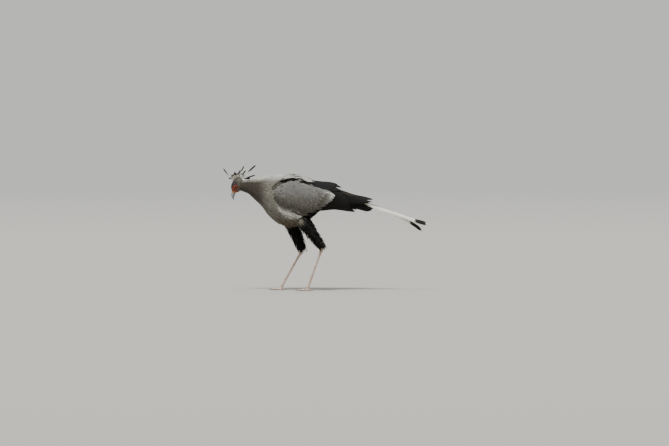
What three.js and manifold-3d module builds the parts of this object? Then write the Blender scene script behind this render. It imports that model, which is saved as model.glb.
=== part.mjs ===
// A secretary bird, life size, stalking with its head bent down and its crest raised.
// Millimetres, +Z up. The bird faces -X and its left side faces -Y.

import * as THREE from 'three';
import { mergeVertices } from 'three/addons/utils/BufferGeometryUtils.js';
import Module from 'manifold-3d';

const wasm = await Module();
wasm.setup();

const { lerp: mix, smoothstep, degToRad, radToDeg } = THREE.MathUtils;

// Driving dimensions

const gap = 0.3; // between pieces that touch
const neckEnd = -440; // where the neck meets the torso
const torsoEnd = 36; // where the rump meets the tail
const tailLength = 750; // longest tail feather, from the rump to its tip
const tarsusLength = 300;
const billLength = 54;
const eyeRadius = 10.5;
const stanceWidth = 116; // between the two feet
const headPitch = 70; // degrees below level
const headCentre = new THREE.Vector3(-602, 0, 727);

// Height of the back and the belly and half the width, along the body from the nape to the rump

const bodyStations = [
  { at: -590, top: 750, bottom: 694, wide: 26 },
  { at: -557, top: 759, bottom: 682, wide: 36 },
  { at: -525, top: 765, bottom: 668, wide: 42 },
  { at: -490, top: 771, bottom: 636, wide: 52 },
  { at: -440, top: 784, bottom: 588, wide: 75 },
  { at: -385, top: 795, bottom: 522, wide: 98 },
  { at: -330, top: 797, bottom: 474, wide: 110 },
  { at: -270, top: 794, bottom: 448, wide: 115 },
  { at: -210, top: 787, bottom: 446, wide: 115 },
  { at: -150, top: 772, bottom: 464, wide: 108 },
  { at: -90, top: 748, bottom: 508, wide: 94 },
  { at: -30, top: 722, bottom: 560, wide: 72 },
  { at: torsoEnd, top: 700, bottom: 604, wide: 48 },
];

// The same round the folded wings, from their bend to the tips of the flight feathers

const foldStations = [
  { at: -370, top: 796, bottom: 500, wide: 104 },
  { at: -300, top: 800, bottom: 456, wide: 118 },
  { at: -200, top: 793, bottom: 446, wide: 120 },
  { at: -120, top: 772, bottom: 470, wide: 114 },
  { at: -40, top: 744, bottom: 506, wide: 102 },
  { at: 40, top: 728, bottom: 534, wide: 86 },
  { at: 120, top: 697, bottom: 546, wide: 70 },
  { at: 200, top: 668, bottom: 550, wide: 58 },
  { at: 280, top: 648, bottom: 554, wide: 48 },
  { at: 360, top: 624, bottom: 562, wide: 40 },
];

// The same round the tail, which slopes down behind the rump

const tailStations = [
  { at: torsoEnd, top: 702, bottom: 610, wide: 42 },
  { at: 120, top: 672, bottom: 590, wide: 38 },
  { at: 200, top: 642, bottom: 566, wide: 35 },
  { at: 280, top: 612, bottom: 545, wide: 34 },
  { at: 350, top: 586, bottom: 530, wide: 33 },
  { at: 500, top: 540, bottom: 484, wide: 30 },
  { at: 720, top: 464, bottom: 412, wide: 28 },
];

// Solids

function solid(geometry) {
  geometry.deleteAttribute('normal');
  geometry.deleteAttribute('uv');
  const merged = mergeVertices(geometry);
  const corners = merged.index.array;
  const places = merged.attributes.position;
  const [a, b, c] = [new THREE.Vector3(), new THREE.Vector3(), new THREE.Vector3()];
  let volume = 0;
  for (let i = 0; i < corners.length; i += 3) {
    a.fromBufferAttribute(places, corners[i]);
    b.fromBufferAttribute(places, corners[i + 1]);
    c.fromBufferAttribute(places, corners[i + 2]);
    volume += a.dot(b.cross(c));
  }
  const triVerts = Uint32Array.from(corners);
  if (volume < 0) triVerts.reverse();
  const vertProperties = Float32Array.from(places.array);
  return new wasm.Manifold(new wasm.Mesh({ numProp: 3, vertProperties, triVerts }));
}

function fuse(solids) {
  return solids.reduce((whole, next) => whole.add(next));
}

// The one closed body of a node: what a cut leaves loose is dropped
function largest(whole) {
  const pieces = whole.decompose();
  return pieces.reduce((best, next) => (next.volume() > best.volume() ? next : best));
}

// A closed form with round sections: place gives the point at a share of the length, an angle and a reach
function sweep(sides, steps, place) {
  const geometry = new THREE.CylinderGeometry(1, 1, 1, sides, steps);
  const places = geometry.attributes.position;
  for (let i = 0; i < places.count; i += 1) {
    const reach = Math.hypot(places.getX(i), places.getZ(i));
    const angle = Math.atan2(places.getX(i), places.getZ(i));
    const point = place(places.getY(i) + 0.5, angle, reach);
    places.setXYZ(i, point.x, point.y, point.z);
  }
  return solid(geometry);
}

// A closed thin form: place gives the point at a share across, a share along and a face, 1 or -1
function plate(columns, rows, place) {
  const grid = new THREE.PlaneGeometry(1, 1, columns, rows);
  const flat = grid.attributes.position;
  const places = [];
  for (const face of [1, -1]) {
    for (let i = 0; i < flat.count; i += 1) {
      places.push(...place(flat.getX(i) + 0.5, flat.getY(i) + 0.5, face).toArray());
    }
  }
  const corners = [...grid.index.array];
  for (let i = 0; i < grid.index.count; i += 3) {
    const [a, b, c] = corners.slice(i, i + 3);
    corners.push(flat.count + a, flat.count + c, flat.count + b);
  }
  const rim = rimOf(columns, rows);
  rim.forEach((here, i) => {
    const next = rim[(i + 1) % rim.length];
    corners.push(next, here, flat.count + here);
    corners.push(next, flat.count + here, flat.count + next);
  });
  const geometry = new THREE.BufferGeometry();
  geometry.setAttribute('position', new THREE.Float32BufferAttribute(places, 3));
  geometry.setIndex(corners);
  return solid(geometry);
}

// The grid's border, point by point against the clock
function rimOf(columns, rows) {
  const point = (column, row) => row * (columns + 1) + column;
  const rim = [];
  for (let row = 0; row < rows; row += 1) rim.push(point(0, row));
  for (let column = 0; column < columns; column += 1) rim.push(point(column, rows));
  for (let row = rows; row > 0; row -= 1) rim.push(point(columns, row));
  for (let column = columns; column > 0; column -= 1) rim.push(point(column, 0));
  return rim;
}

// Shells: a surface read at a distance along, an angle down from the top and a height above it

function stationCurves(stations) {
  const names = Object.keys(stations[0]).filter((name) => name !== 'at');
  const places = stations.map((station) => station.at);
  const values = stations.flatMap((station) => names.map((name) => station[name]));
  const curve = new THREE.CubicInterpolant(places, values, names.length, []);
  return (at) => {
    const found = curve.evaluate(at);
    return Object.fromEntries(names.map((name, i) => [name, found[i]]));
  };
}

const squareness = 0.86; // 1 gives oval sections, less gives squarer ones

function rounded(value) {
  return Math.sign(value) * Math.abs(value) ** squareness;
}

// Sections stand upright across the body; angles grow towards the left side
function bodyShell(stations) {
  const sizes = stationCurves(stations);
  return {
    radius: (at) => (sizes(at).wide + (sizes(at).top - sizes(at).bottom) / 2) / 2,
    point(at, angle, out = 0, reach = 1) {
      const { top, bottom, wide } = sizes(at);
      const tall = (top - bottom) / 2;
      return new THREE.Vector3(
        at,
        -reach * (wide + out) * rounded(Math.sin(degToRad(angle))),
        (top + bottom) / 2 + reach * (tall + out) * rounded(Math.cos(degToRad(angle))),
      );
    },
  };
}

function along(shell, from, to, sides, steps, out = 0) {
  const half = 180 / Math.PI;
  return sweep(sides, steps, (t, angle, reach) => shell.point(mix(from, to, t), angle * half, out, reach));
}

const body = bodyShell(bodyStations);
const fold = bodyShell(foldStations);
const tailForm = bodyShell(tailStations);

// Head: its own frame runs forward down the bill and rises towards the crown

const headForward = new THREE.Vector3(-Math.cos(degToRad(headPitch)), 0, -Math.sin(degToRad(headPitch)));
const headUp = new THREE.Vector3(-Math.sin(degToRad(headPitch)), 0, Math.cos(degToRad(headPitch)));

function headPoint(forward, left, up) {
  return headCentre.clone()
    .addScaledVector(headForward, forward)
    .addScaledVector(headUp, up)
    .add(new THREE.Vector3(0, -left, 0));
}

const headStations = [
  { at: -55, up: 11, down: 9, wide: 13 },
  { at: -44, up: 26, down: 21, wide: 24 },
  { at: -22, up: 35, down: 31, wide: 30 },
  { at: 2, up: 39, down: 34, wide: 31 },
  { at: 22, up: 37, down: 32, wide: 28 },
  { at: 38, up: 30, down: 24, wide: 21 },
  { at: 50, up: 21, down: 12, wide: 13.5 },
];

const headSizes = stationCurves(headStations);
const headStart = headStations[0].at;
const headEnd = headStations[headStations.length - 1].at;

function headForm(out = 0) {
  return sweep(14, 9, (t, angle, reach) => {
    const forward = mix(headStart - out, headEnd + out, t);
    const { up, down, wide } = headSizes(forward);
    const rise = Math.cos(angle);
    const tall = rise > 0 ? up : down;
    return headPoint(forward, reach * (wide + out) * Math.sin(angle), reach * (tall + out) * rise);
  });
}

const eyeForward = 25;
const eyeUp = 2;
const eyeLeft = 19;

function eyeball(side, out = 0) {
  const geometry = new THREE.SphereGeometry(eyeRadius + out, 12, 7);
  const centre = headPoint(eyeForward, side * eyeLeft, eyeUp);
  geometry.translate(centre.x, centre.y, centre.z);
  return solid(geometry);
}

// Bill

const mouthLine = 3; // above the head's axis
const upperHeight = 17;
const lowerDepth = 10.5;
const billHalfWidth = 11;
const hookDrop = 18;

const billSteps = 8;
const lowerShare = 6 / billSteps; // of the upper bill's length

function mouthDrop(share) {
  return hookDrop * smoothstep(share, 0.35, 1.15) ** 1.6 + 2.5 * share * share;
}

function upperBill() {
  return sweep(12, billSteps, (t, angle, reach) => {
    const taper = Math.sqrt(1 - 0.97 * t ** 2.4);
    const rise = Math.max(0, upperHeight * Math.cos(angle) * taper);
    const wide = billHalfWidth * taper * Math.sin(angle);
    return headPoint(headEnd + gap + billLength * t, reach * wide, mouthLine - mouthDrop(t) + reach * rise);
  });
}

function lowerBill() {
  return sweep(12, billSteps * lowerShare, (t, angle, reach) => {
    const taper = Math.sqrt(1 - 0.9 * t ** 2);
    const share = lowerShare * t;
    const fall = Math.min(0, lowerDepth * Math.cos(angle) * taper);
    const wide = billHalfWidth * 0.86 * taper * Math.sin(angle);
    const mouth = mouthLine - gap - mouthDrop(share);
    return headPoint(headEnd + gap + billLength * share, reach * wide, mouth + reach * fall);
  });
}

// Feathers

const shaftThickness = 1.5;
const edgeThickness = 0.6;

// A feather's half width along its length, as a share of its widest
function outline(t) {
  return mix(0.45, 1, smoothstep(t, 0, 0.35)) * mix(1, 0.3, smoothstep(t, 0.72, 1));
}

// A feather lying on a shell, its root sunk below; root and tip are a distance along and an angle
function vane(shell, side, { root, tip, half, out, sink = 5, lift = 0, tilt = 1.3, rows = 4 }) {
  return plate(2, rows, (u, v, face) => {
    const t = 1 - (1 - v) ** 1.4;
    const across = 2 * u - 1;
    const point = 0.6 * half * across ** 2 * smoothstep(t, 0.7, 1);
    const at = mix(root[0], tip[0], t) - point;
    const turn = (across * half * outline(t)) / shell.radius(at);
    const angle = mix(root[1], tip[1], t) + radToDeg(turn);
    const rise = mix(out - sink, out, smoothstep(t, 0, 0.45)) + lift * t * t + tilt * across;
    const thick = mix(shaftThickness, edgeThickness, Math.abs(across)) / 2;
    return shell.point(at, side * angle, rise + face * thick);
  });
}

// A tier of feathers, from the one nearest the back to the lowest
function tier(count, make) {
  return Array.from({ length: count }, (unused, i) => make(i / (count - 1), i));
}

let seed = 1;

// A repeatable random number from -1 to 1
function vary(amount = 1) {
  seed = (seed * 16807) % 2147483647;
  return amount * ((2 * seed) / 2147483647 - 1);
}

// Wings: a core that holds the roots, then coverts, secondaries, tertials and primaries

const wingFront = -352;
const coreEnd = -20;
const coveredAngle = 47; // the scapulars cover the wing above this angle
const coreRise = 8;

function wingCore(side) {
  return plate(8, 7, (u, v, face) => {
    const front = 26 * (2 * u - 0.9) ** 2 * (1 - v);
    const at = mix(wingFront, coreEnd, v) + front;
    const top = mix(46, 12, smoothstep(v, 0.5, 0.8));
    const low = mix(107, 126, smoothstep(v, 0.3, 0.65)) - 8 * smoothstep(v, 0.7, 1);
    const angle = mix(top, low, u);
    const edge = Math.min(1, 5 * v, 6 * (1 - u), 5 * (1 - v));
    const bare = smoothstep(angle, coveredAngle, coveredAngle + 14);
    const swell = coreRise * Math.sqrt(Math.max(0.02, edge)) * bare;
    return fold.point(at, side * angle, face > 0 ? swell - 1 : -12);
  });
}

// The room that the wing and its feathers take, cut from the thigh beneath
function wingRoom(side) {
  return plate(4, 6, (u, v, face) => {
    const angle = side * mix(70, 141, u);
    return fold.point(mix(-380, 180, v), angle, face > 0 ? 40 : -13);
  });
}

// How far back the pale coverts reach over the quills, by the angle down from the back
const covertEnds = [
  { at: 50, reach: -100 },
  { at: 60, reach: -66 },
  { at: 70, reach: 44 },
  { at: 77, reach: 71 },
  { at: 86, reach: 63 },
  { at: 98, reach: 40 },
  { at: 111, reach: -4 },
  { at: 118, reach: -24 },
  { at: 125, reach: -125 },
];
const covertReach = stationCurves(covertEnds);

// The angle at which a greater covert ends, from the highest to the lowest
function covertAngle(k) {
  return mix(53, 124, k);
}

function primaries(side) {
  return tier(7, (k, i) => vane(fold, side, {
    root: [-60, mix(52, 102, k)],
    tip: [180 + 160 * Math.sin(1.9 * k) + vary(4), mix(30, 9, smoothstep(k, 0, 0.7)) + 60 * k ** 7],
    half: 16,
    out: -1 - 1.5 * i,
    sink: 2,
    lift: 3 + 8 * k,
    tilt: 0.4,
  }));
}

function secondaries(side) {
  return tier(6, (k) => vane(fold, side, {
    root: [-70, mix(52, 116, k)],
    tip: [104 + 46 * Math.sin(Math.PI * k) + 76 * k * k + vary(5), mix(43, 128, k)],
    half: 20,
    out: 2.5,
    rows: 3,
  }));
}

// The lowest quills, whose ends hang under the tail
function hangingQuills(side) {
  return tier(2, (k) => vane(fold, side, {
    root: [0, mix(108, 122, k)],
    tip: [194 + 22 * k + vary(3), mix(134, 165, k)],
    half: 18,
    out: -3,
    lift: 12 * k,
    tilt: 0.8,
    rows: 3,
  }));
}

function tertials(side) {
  return tier(3, (k) => vane(fold, side, {
    root: [-130, mix(19, 48, k)],
    tip: [94 + 20 * k + vary(6), mix(15, 41, k)],
    half: 20,
    out: 4,
    sink: 12,
    lift: 16 * (1 - k),
    tilt: -5 + 7 * k,
  }));
}

function greaterCoverts(side) {
  return tier(8, (k) => vane(fold, side, {
    root: [
      covertReach(covertAngle(k)).reach - 118,
      covertAngle(k) - 3 - 30 * Math.sin(Math.PI * k) - 12 * k ** 4,
    ],
    tip: [covertReach(covertAngle(k)).reach + vary(5), covertAngle(k)],
    half: 19,
    out: 7,
    lift: 1.5,
    rows: 3,
  }));
}

function medianCoverts(side) {
  return tier(6, (k) => vane(fold, side, {
    root: [covertReach(covertAngle(k)).reach - 176, mix(52, 98, k) - 14 * Math.sin(Math.PI * k)],
    tip: [covertReach(covertAngle(k)).reach - 64 + vary(5), mix(56, 112, k)],
    half: 20,
    out: 10,
    lift: 1.5,
    rows: 2,
  }));
}

function wing(side) {
  return fuse([
    wingCore(side),
    ...primaries(side),
    ...secondaries(side),
    ...hangingQuills(side),
    ...tertials(side),
    ...greaterCoverts(side),
    ...medianCoverts(side),
  ]);
}

// Scapulars: two tiers from the mantle over the roots of the wings

function scapulars(side) {
  const upper = tier(3, (k) => vane(fold, side, {
    root: [-290, mix(9, 30, k)],
    tip: [-150 + vary(6), mix(8, 29, k)],
    half: 20,
    out: 9,
    sink: 14,
    lift: 7,
    rows: 2,
  }));
  const lower = tier(3, (k) => vane(fold, side, {
    root: [-230, mix(11, 31, k)],
    tip: [-80 + 14 * k + vary(6), mix(10, 31, k)],
    half: 21,
    out: 7.5,
    sink: 18,
    tilt: 0.6,
    rows: 2,
  }));
  return [...upper, ...lower];
}

// Tail: a base that holds the roots, coverts, the fan and the two long central feathers

const rectrixCount = 4; // on each side of the central pair
const tailBaseEnd = 150;
const centralLean = 62; // degrees that the long feathers lean outward
const centralHalf = 12.2; // half their width before the wider end

function tailBase() {
  return sweep(12, 3, (t, angle, reach) => {
    const at = mix(torsoEnd + gap, tailBaseEnd, t);
    return tailForm.point(at, radToDeg(angle), -17 * t, reach);
  });
}

function rectrices(side) {
  return tier(rectrixCount, (k, i) => vane(tailForm, side, {
    root: [80, mix(22, 116, k)],
    tip: [372 - 76 * k + vary(5), mix(18, 156, k)],
    half: 21,
    out: 1 - 1.4 * i,
    sink: 8,
    tilt: 0.4,
    rows: 3,
  }));
}

function centralRectrix(side, reachBack, droop) {
  return plate(2, 7, (u, v, face) => {
    const across = 2 * u - 1;
    const spoon = mix(0.8, 1, smoothstep(v, 0.2, 0.6)) * mix(1, 1.32, smoothstep(v, 0.8, 0.93));
    const half = centralHalf * spoon * mix(1, 0.45, smoothstep(v, 0.93, 1));
    const at = mix(60, reachBack, v) - 5 * across ** 2 * smoothstep(v, 0.93, 1);
    const lean = mix(24, centralLean, smoothstep(v, 0.1, 0.5));
    const rise = mix(-6, 2, smoothstep(v, 0, 0.2)) - 12 * smoothstep(v, 0.5, 0.9);
    const thick = (face * mix(shaftThickness, edgeThickness, Math.abs(across))) / 2;
    const point = tailForm.point(at, side * lean, rise);
    const cos = Math.cos(degToRad(lean));
    const sin = Math.sin(degToRad(lean));
    point.y -= side * (across * half * cos + thick * sin);
    point.z += thick * cos - across * half * sin - droop * v ** 6;
    return point;
  });
}

function tailCoverts(side) {
  const upper = tier(2, (k) => vane(tailForm, side, {
    root: [50, mix(18, 54, k)],
    tip: [150 - 20 * k + vary(6), mix(16, 60, k)],
    half: 17,
    out: 3.5,
    sink: 8,
    rows: 2,
  }));
  const under = tier(2, (k) => vane(tailForm, side, {
    root: [50, mix(112, 156, k)],
    tip: [230 - 20 * k + vary(6), mix(118, 160, k)],
    half: 21,
    out: 3,
    sink: 8,
    rows: 2,
  }));
  return [...upper, ...under];
}

function tail() {
  return fuse([
    tailBase(),
    ...rectrices(1),
    ...rectrices(-1),
    ...tailCoverts(1),
    ...tailCoverts(-1),
    centralRectrix(1, tailLength - 38, -11),
    centralRectrix(-1, tailLength - 74, 50),
  ]);
}

// Crest: pairs of spatulate feathers, leaning from forward over the brow to back along the neck

const crestPairs = [
  { lean: -66, length: 50, width: 0.8 },
  { lean: -47, length: 128, width: 0.9 },
  { lean: -42, length: 46, width: 1 },
  { lean: -12, length: 56, width: 0.7 },
  { lean: 20, length: 68, width: 0.7 },
  { lean: 28, length: 94, width: 1.2 },
  { lean: 46, length: 80, width: 0.8 },
  { lean: 56, length: 152, width: 0.9 },
  { lean: 80, length: 120, width: 0.9 },
  { lean: 86, length: 86, width: 0.9 },
];
const crestHalf = 6.6; // half the full width of a plume's end
const crestSplay = 16; // degrees outward

function plume(side, { lean, length, width }, order) {
  const round = degToRad(mix(74, 10, order));
  const from = headPoint(-20 - 28 * Math.cos(round), side * 8, 28 * Math.sin(round));
  const tilt = degToRad(lean + vary(3));
  const splay = degToRad(crestSplay + vary(8)) * side;
  const ahead = new THREE.Vector3(Math.sin(tilt), 0, Math.cos(tilt)).multiplyScalar(Math.cos(splay));
  ahead.y = -Math.sin(splay);
  const curl = new THREE.Vector3(Math.cos(tilt), 0, -Math.sin(tilt));
  const aside = ahead.clone().cross(curl).normalize();
  const flat = aside.clone().applyAxisAngle(ahead, degToRad(58 * side + vary(26)));
  const normal = ahead.clone().cross(flat).normalize();
  return plate(1, 5, (u, v, face) => {
    const spoon = mix(0.32, 1, smoothstep(v, 0.45, 0.8)) * mix(1, 0.4, smoothstep(v, 0.88, 1));
    const bend = mix(0.3, -0.06, smoothstep(lean, -60, 60)) * length * (v * v - v);
    return from.clone()
      .addScaledVector(ahead, length * v)
      .addScaledVector(curl, bend)
      .addScaledVector(flat, (2 * u - 1) * crestHalf * width * spoon)
      .addScaledVector(normal, face * mix(0.8, 0.4, v));
  });
}

function crest() {
  return [1, -1].flatMap((side) => tier(crestPairs.length, (k, i) => plume(side, crestPairs[i], k)));
}

// Head details

function lidRing(side) {
  const ring = new THREE.TorusGeometry(8.6, 2.1, 5, 11);
  const places = ring.attributes.position;
  for (let i = 0; i < places.count; i += 1) {
    const up = eyeUp + 0.86 * places.getY(i);
    const left = side * (eyeLeft + 6.9 + places.getZ(i));
    const point = headPoint(eyeForward + 1.08 * places.getX(i), left, up);
    places.setXYZ(i, point.x, point.y, point.z);
  }
  return solid(ring);
}

function brow(side) {
  return sweep(6, 4, (t, angle, reach) => {
    const girth = 3.6 * Math.sin(Math.PI * mix(0.12, 0.88, t));
    const forward = mix(6, 44, t);
    const left = mix(28, 16.5, t ** 1.6) + reach * girth * Math.cos(angle);
    return headPoint(forward, side * left, eyeUp + 13 + 2 * t + reach * girth * Math.sin(angle));
  });
}

function mouthGroove(side) {
  return plate(1, 4, (u, v, face) => {
    const forward = mix(24, headEnd + 1, v);
    const depth = mix(-3, 6, u);
    const left = side * (headSizes(forward).wide + depth);
    return headPoint(forward, left, mouthLine - 10 * (1 - v) + face * 0.5);
  });
}

function nostril(side) {
  const hollow = new THREE.SphereGeometry(2, 6, 4);
  const places = hollow.attributes.position;
  for (let i = 0; i < places.count; i += 1) {
    const left = side * (13 + places.getX(i));
    const point = headPoint(46.5 + 1.5 * places.getY(i), left, 11 + 0.8 * places.getZ(i));
    places.setXYZ(i, point.x, point.y, point.z);
  }
  return solid(hollow);
}

function headWhole() {
  const joined = fuse([headForm(), lidRing(1), lidRing(-1), brow(1), brow(-1), ...crest()]);
  const cuts = [1, -1].flatMap((side) => [eyeball(side, gap), mouthGroove(side), nostril(side)]);
  return cuts.reduce((whole, cut) => whole.subtract(cut), joined);
}

// Legs

const footHeight = 16;

// The lower leg slants forward from the ankle for its own length
function legFrom(name, side, hip, ankle) {
  const drop = ankle[2] - footHeight;
  const foot = [ankle[0] - Math.sqrt(tarsusLength ** 2 - drop ** 2), stanceWidth / 2, footHeight];
  return { name, side, hip, ankle, foot };
}

const legs = [
  legFrom('left', 1, [-180, 60, 530], [-16, stanceWidth / 2, 298]),
  legFrom('right', -1, [-250, 60, 512], [-154, stanceWidth / 2, 276]),
];

function legPoint(side, [x, left, z]) {
  return new THREE.Vector3(x, -side * left, z);
}

// A limb's sections stand square to the line from one end to the other; angles start at its back
function limbShell(from, to, stations) {
  const sizes = stationCurves(stations);
  const down = to.clone().sub(from).normalize();
  const left = new THREE.Vector3(0, -1, 0);
  const back = left.clone().cross(down).normalize();
  return {
    radius: (at) => (sizes(at).deep + sizes(at).wide) / 2,
    point(at, angle, out = 0, reach = 1) {
      const { deep, wide } = sizes(at);
      return from.clone().lerp(to, at)
        .addScaledVector(back, reach * (deep + out) * Math.cos(degToRad(angle)))
        .addScaledVector(left, reach * (wide + out) * Math.sin(degToRad(angle)));
    },
  };
}

const thighStations = [
  { at: 0, deep: 20, wide: 14 },
  { at: 0.12, deep: 40, wide: 33 },
  { at: 0.35, deep: 36, wide: 32 },
  { at: 0.65, deep: 29, wide: 26 },
  { at: 0.9, deep: 23, wide: 21 },
  { at: 1, deep: 15, wide: 14 },
];

const tarsusStations = [
  { at: 0, deep: 11, wide: 10 },
  { at: 0.06, deep: 14, wide: 12 },
  { at: 0.14, deep: 9, wide: 8 },
  { at: 0.5, deep: 7.5, wide: 6.5 },
  { at: 0.9, deep: 8.5, wide: 8.5 },
  { at: 1, deep: 9.5, wide: 11 },
];

const collarStations = [
  { at: 0, deep: 9.5, wide: 11 },
  { at: 1, deep: 11, wide: 13 },
];

// Long loose feathers that hang round the thigh in rings, each a tapered lock
const lockRings = [
  { at: 0.26, count: 6, length: 0.26 },
  { at: 0.48, count: 6, length: 0.26 },
  { at: 0.68, count: 6, length: 0.24 },
];

function thighLocks(shell) {
  return lockRings.flatMap(({ at, count, length }) => tier(count + 1, (k) => {
    const angle = 360 * k + 20 + vary(8);
    const reach = length * (1 + vary(0.15));
    return plate(1, 2, (u, v, face) => {
      const half = 14 * mix(1, 0.18, v ** 1.5);
      const turn = radToDeg(((2 * u - 1) * half) / shell.radius(at + reach * v));
      return shell.point(at + reach * v, angle + turn, mix(-9, 6, v ** 0.6) + face * mix(1.4, 0.5, v));
    });
  }).slice(1));
}

const toes = [
  { name: 'outer', heading: 30, length: 46, thick: 8 },
  { name: 'middle', heading: 0, length: 64, thick: 9 },
  { name: 'inner', heading: -30, length: 48, thick: 8 },
  { name: 'hind', heading: 172, length: 28, thick: 7 },
];
const clawLength = 19;
const toeTip = 0.5; // share of the thickness left where the claw starts
const toeHeight = 6.5;

function toePoint(leg, toe, distance, across, height) {
  const turn = degToRad(toe.heading);
  const centre = legPoint(leg.side, leg.foot);
  const ahead = new THREE.Vector3(-Math.cos(turn), -leg.side * Math.sin(turn), 0);
  const aside = new THREE.Vector3(-Math.sin(turn), leg.side * Math.cos(turn), 0);
  const point = centre.addScaledVector(ahead, distance).addScaledVector(aside, across);
  point.z = height;
  return point;
}

function toeForm(leg, toe) {
  return sweep(8, 3, (t, angle, reach) => {
    const radius = toe.thick * mix(1, toeTip, t ** 3);
    const height = toeHeight * mix(1, 0.75, t) + reach * radius * Math.cos(angle);
    return toePoint(leg, toe, toe.length * t, reach * radius * Math.sin(angle), Math.max(0, height));
  });
}

function clawForm(leg, toe) {
  return sweep(6, 3, (t, angle, reach) => {
    const radius = toe.thick * toeTip * mix(0.98, 0.16, t);
    const height = toeHeight * 0.75 - 4.6 * t * t + reach * radius * Math.cos(angle);
    const distance = toe.length + gap + clawLength * t;
    return toePoint(leg, toe, distance, reach * radius * Math.sin(angle), Math.max(0.6, height));
  });
}

// Assembly

const finishes = {
  grey: { color: 0xa9a7a2, roughness: 0.85, metalness: 0 },
  pale: { color: 0xc4c0b8, roughness: 0.85, metalness: 0 },
  black: { color: 0x1d1c1e, roughness: 0.8, metalness: 0 },
  face: { color: 0xb8492a, roughness: 0.6, metalness: 0 },
  bill: { color: 0x8b96a3, roughness: 0.4, metalness: 0 },
  eye: { color: 0x4a3b30, roughness: 0.1, metalness: 0 },
  leg: { color: 0xb59c8c, roughness: 0.6, metalness: 0 },
  claw: { color: 0x33302e, roughness: 0.4, metalness: 0 },
};

const bird = new THREE.Group();

function add(name, whole, finish) {
  const { vertProperties, triVerts } = largest(whole).getMesh();
  const geometry = new THREE.BufferGeometry();
  geometry.setAttribute('position', new THREE.BufferAttribute(vertProperties, 3));
  geometry.setIndex(new THREE.BufferAttribute(triVerts, 1));
  geometry.computeVertexNormals();
  const mesh = new THREE.Mesh(geometry, new THREE.MeshStandardMaterial(finishes[finish]));
  mesh.name = name;
  bird.add(mesh);
}

const torsoCore = along(body, neckEnd + gap / 2, torsoEnd - gap / 2, 18, 12);
const torsoCut = along(body, neckEnd, torsoEnd, 18, 12, gap);
const eyes = { left: eyeball(1), right: eyeball(-1) };
const headCut = headForm(gap);

add('torso', fuse([torsoCore, ...scapulars(1), ...scapulars(-1)]), 'grey');
add('neck', along(body, bodyStations[0].at, neckEnd - gap / 2, 16, 6).subtract(headCut), 'pale');
add('head', headWhole(), 'pale');
add('eye_left', eyes.left, 'eye');
add('eye_right', eyes.right, 'eye');
add('bill_upper', upperBill(), 'bill');
add('bill_lower', lowerBill(), 'bill');
add('tail', tail(), 'black');
for (const { side, name } of legs) {
  add(`wing_${name}`, wing(side).subtract(torsoCut), 'grey');
}
for (const leg of legs) {
  const hip = legPoint(leg.side, leg.hip);
  const ankle = legPoint(leg.side, leg.ankle);
  const foot = legPoint(leg.side, leg.foot);
  const shin = foot.clone().sub(ankle).normalize();
  const low = foot.clone().addScaledVector(shin, -12);
  const shank = limbShell(ankle, low, tarsusStations);
  const thighShell = limbShell(hip, ankle, thighStations);
  const thigh = fuse([along(thighShell, 0, 1, 12, 7), ...thighLocks(thighShell)]);
  const cuts = [torsoCut, wingRoom(leg.side), along(shank, -0.003, 1, 10, 6, gap)];
  add(`thigh_${leg.name}`, cuts.reduce((whole, cut) => whole.subtract(cut), thigh), 'black');
  add(`tarsus_${leg.name}`, along(shank, 0, 1, 10, 6), 'leg');
  const collar = limbShell(low.clone().addScaledVector(shin, gap), foot, collarStations);
  const pieces = [along(collar, 0, 1, 10, 1), ...toes.map((toe) => toeForm(leg, toe))];
  add(`foot_${leg.name}`, fuse(pieces), 'leg');
  for (const toe of toes) {
    add(`claw_${leg.name}_${toe.name}`, clawForm(leg, toe), 'claw');
  }
}

const box = new THREE.Box3().setFromObject(bird);
bird.position.set(-(box.min.x + box.max.x) / 2, -(box.min.y + box.max.y) / 2, -box.min.z);

export default bird;
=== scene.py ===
import math

import bpy
import numpy as np
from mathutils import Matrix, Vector
from mathutils.bvhtree import BVHTree


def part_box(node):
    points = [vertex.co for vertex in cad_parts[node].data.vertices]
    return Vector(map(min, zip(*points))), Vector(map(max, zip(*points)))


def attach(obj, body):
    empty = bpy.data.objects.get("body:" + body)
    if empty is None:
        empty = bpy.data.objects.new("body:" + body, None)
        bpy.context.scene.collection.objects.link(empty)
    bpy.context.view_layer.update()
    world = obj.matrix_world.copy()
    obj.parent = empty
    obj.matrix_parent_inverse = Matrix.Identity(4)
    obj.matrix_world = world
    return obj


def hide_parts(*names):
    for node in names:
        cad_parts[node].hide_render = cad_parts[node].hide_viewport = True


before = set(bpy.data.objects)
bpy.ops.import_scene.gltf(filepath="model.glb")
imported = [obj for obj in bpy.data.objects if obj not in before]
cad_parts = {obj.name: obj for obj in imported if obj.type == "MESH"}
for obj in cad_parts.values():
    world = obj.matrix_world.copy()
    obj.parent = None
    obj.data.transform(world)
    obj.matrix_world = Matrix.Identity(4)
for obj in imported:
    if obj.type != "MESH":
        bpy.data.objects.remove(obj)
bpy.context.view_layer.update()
chance = np.random.default_rng(11)
bothSides = (("left", 1), ("right", -1))


# Small helpers for numbers and arrays

def mix(a, b, t):
    return a + (b - a) * t


def smooth(value, low, high):
    t = np.clip((value - low) / (high - low), 0, 1)
    return t * t * (3 - 2 * t)


def hump(value, middle, spread):  # 1 at the middle, falling off on both sides
    return np.exp(-((value - middle) / spread) ** 2)


def root(value, least=0):
    return np.sqrt(np.clip(value, least, 1))


def ring(rows, sides):  # shares along a tube, down, and turns around it, across
    return np.linspace(0, 1, rows)[:, None], np.arange(sides)[None, :] * math.tau / sides


def oval(turn, wide, high):  # how far an oval reaches at a turn from its wide side
    return 1 / np.hypot(np.cos(turn) / wide, np.sin(turn) / high)


def unit(vectors):
    return vectors / np.linalg.norm(vectors, axis=-1, keepdims=True)


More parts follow.
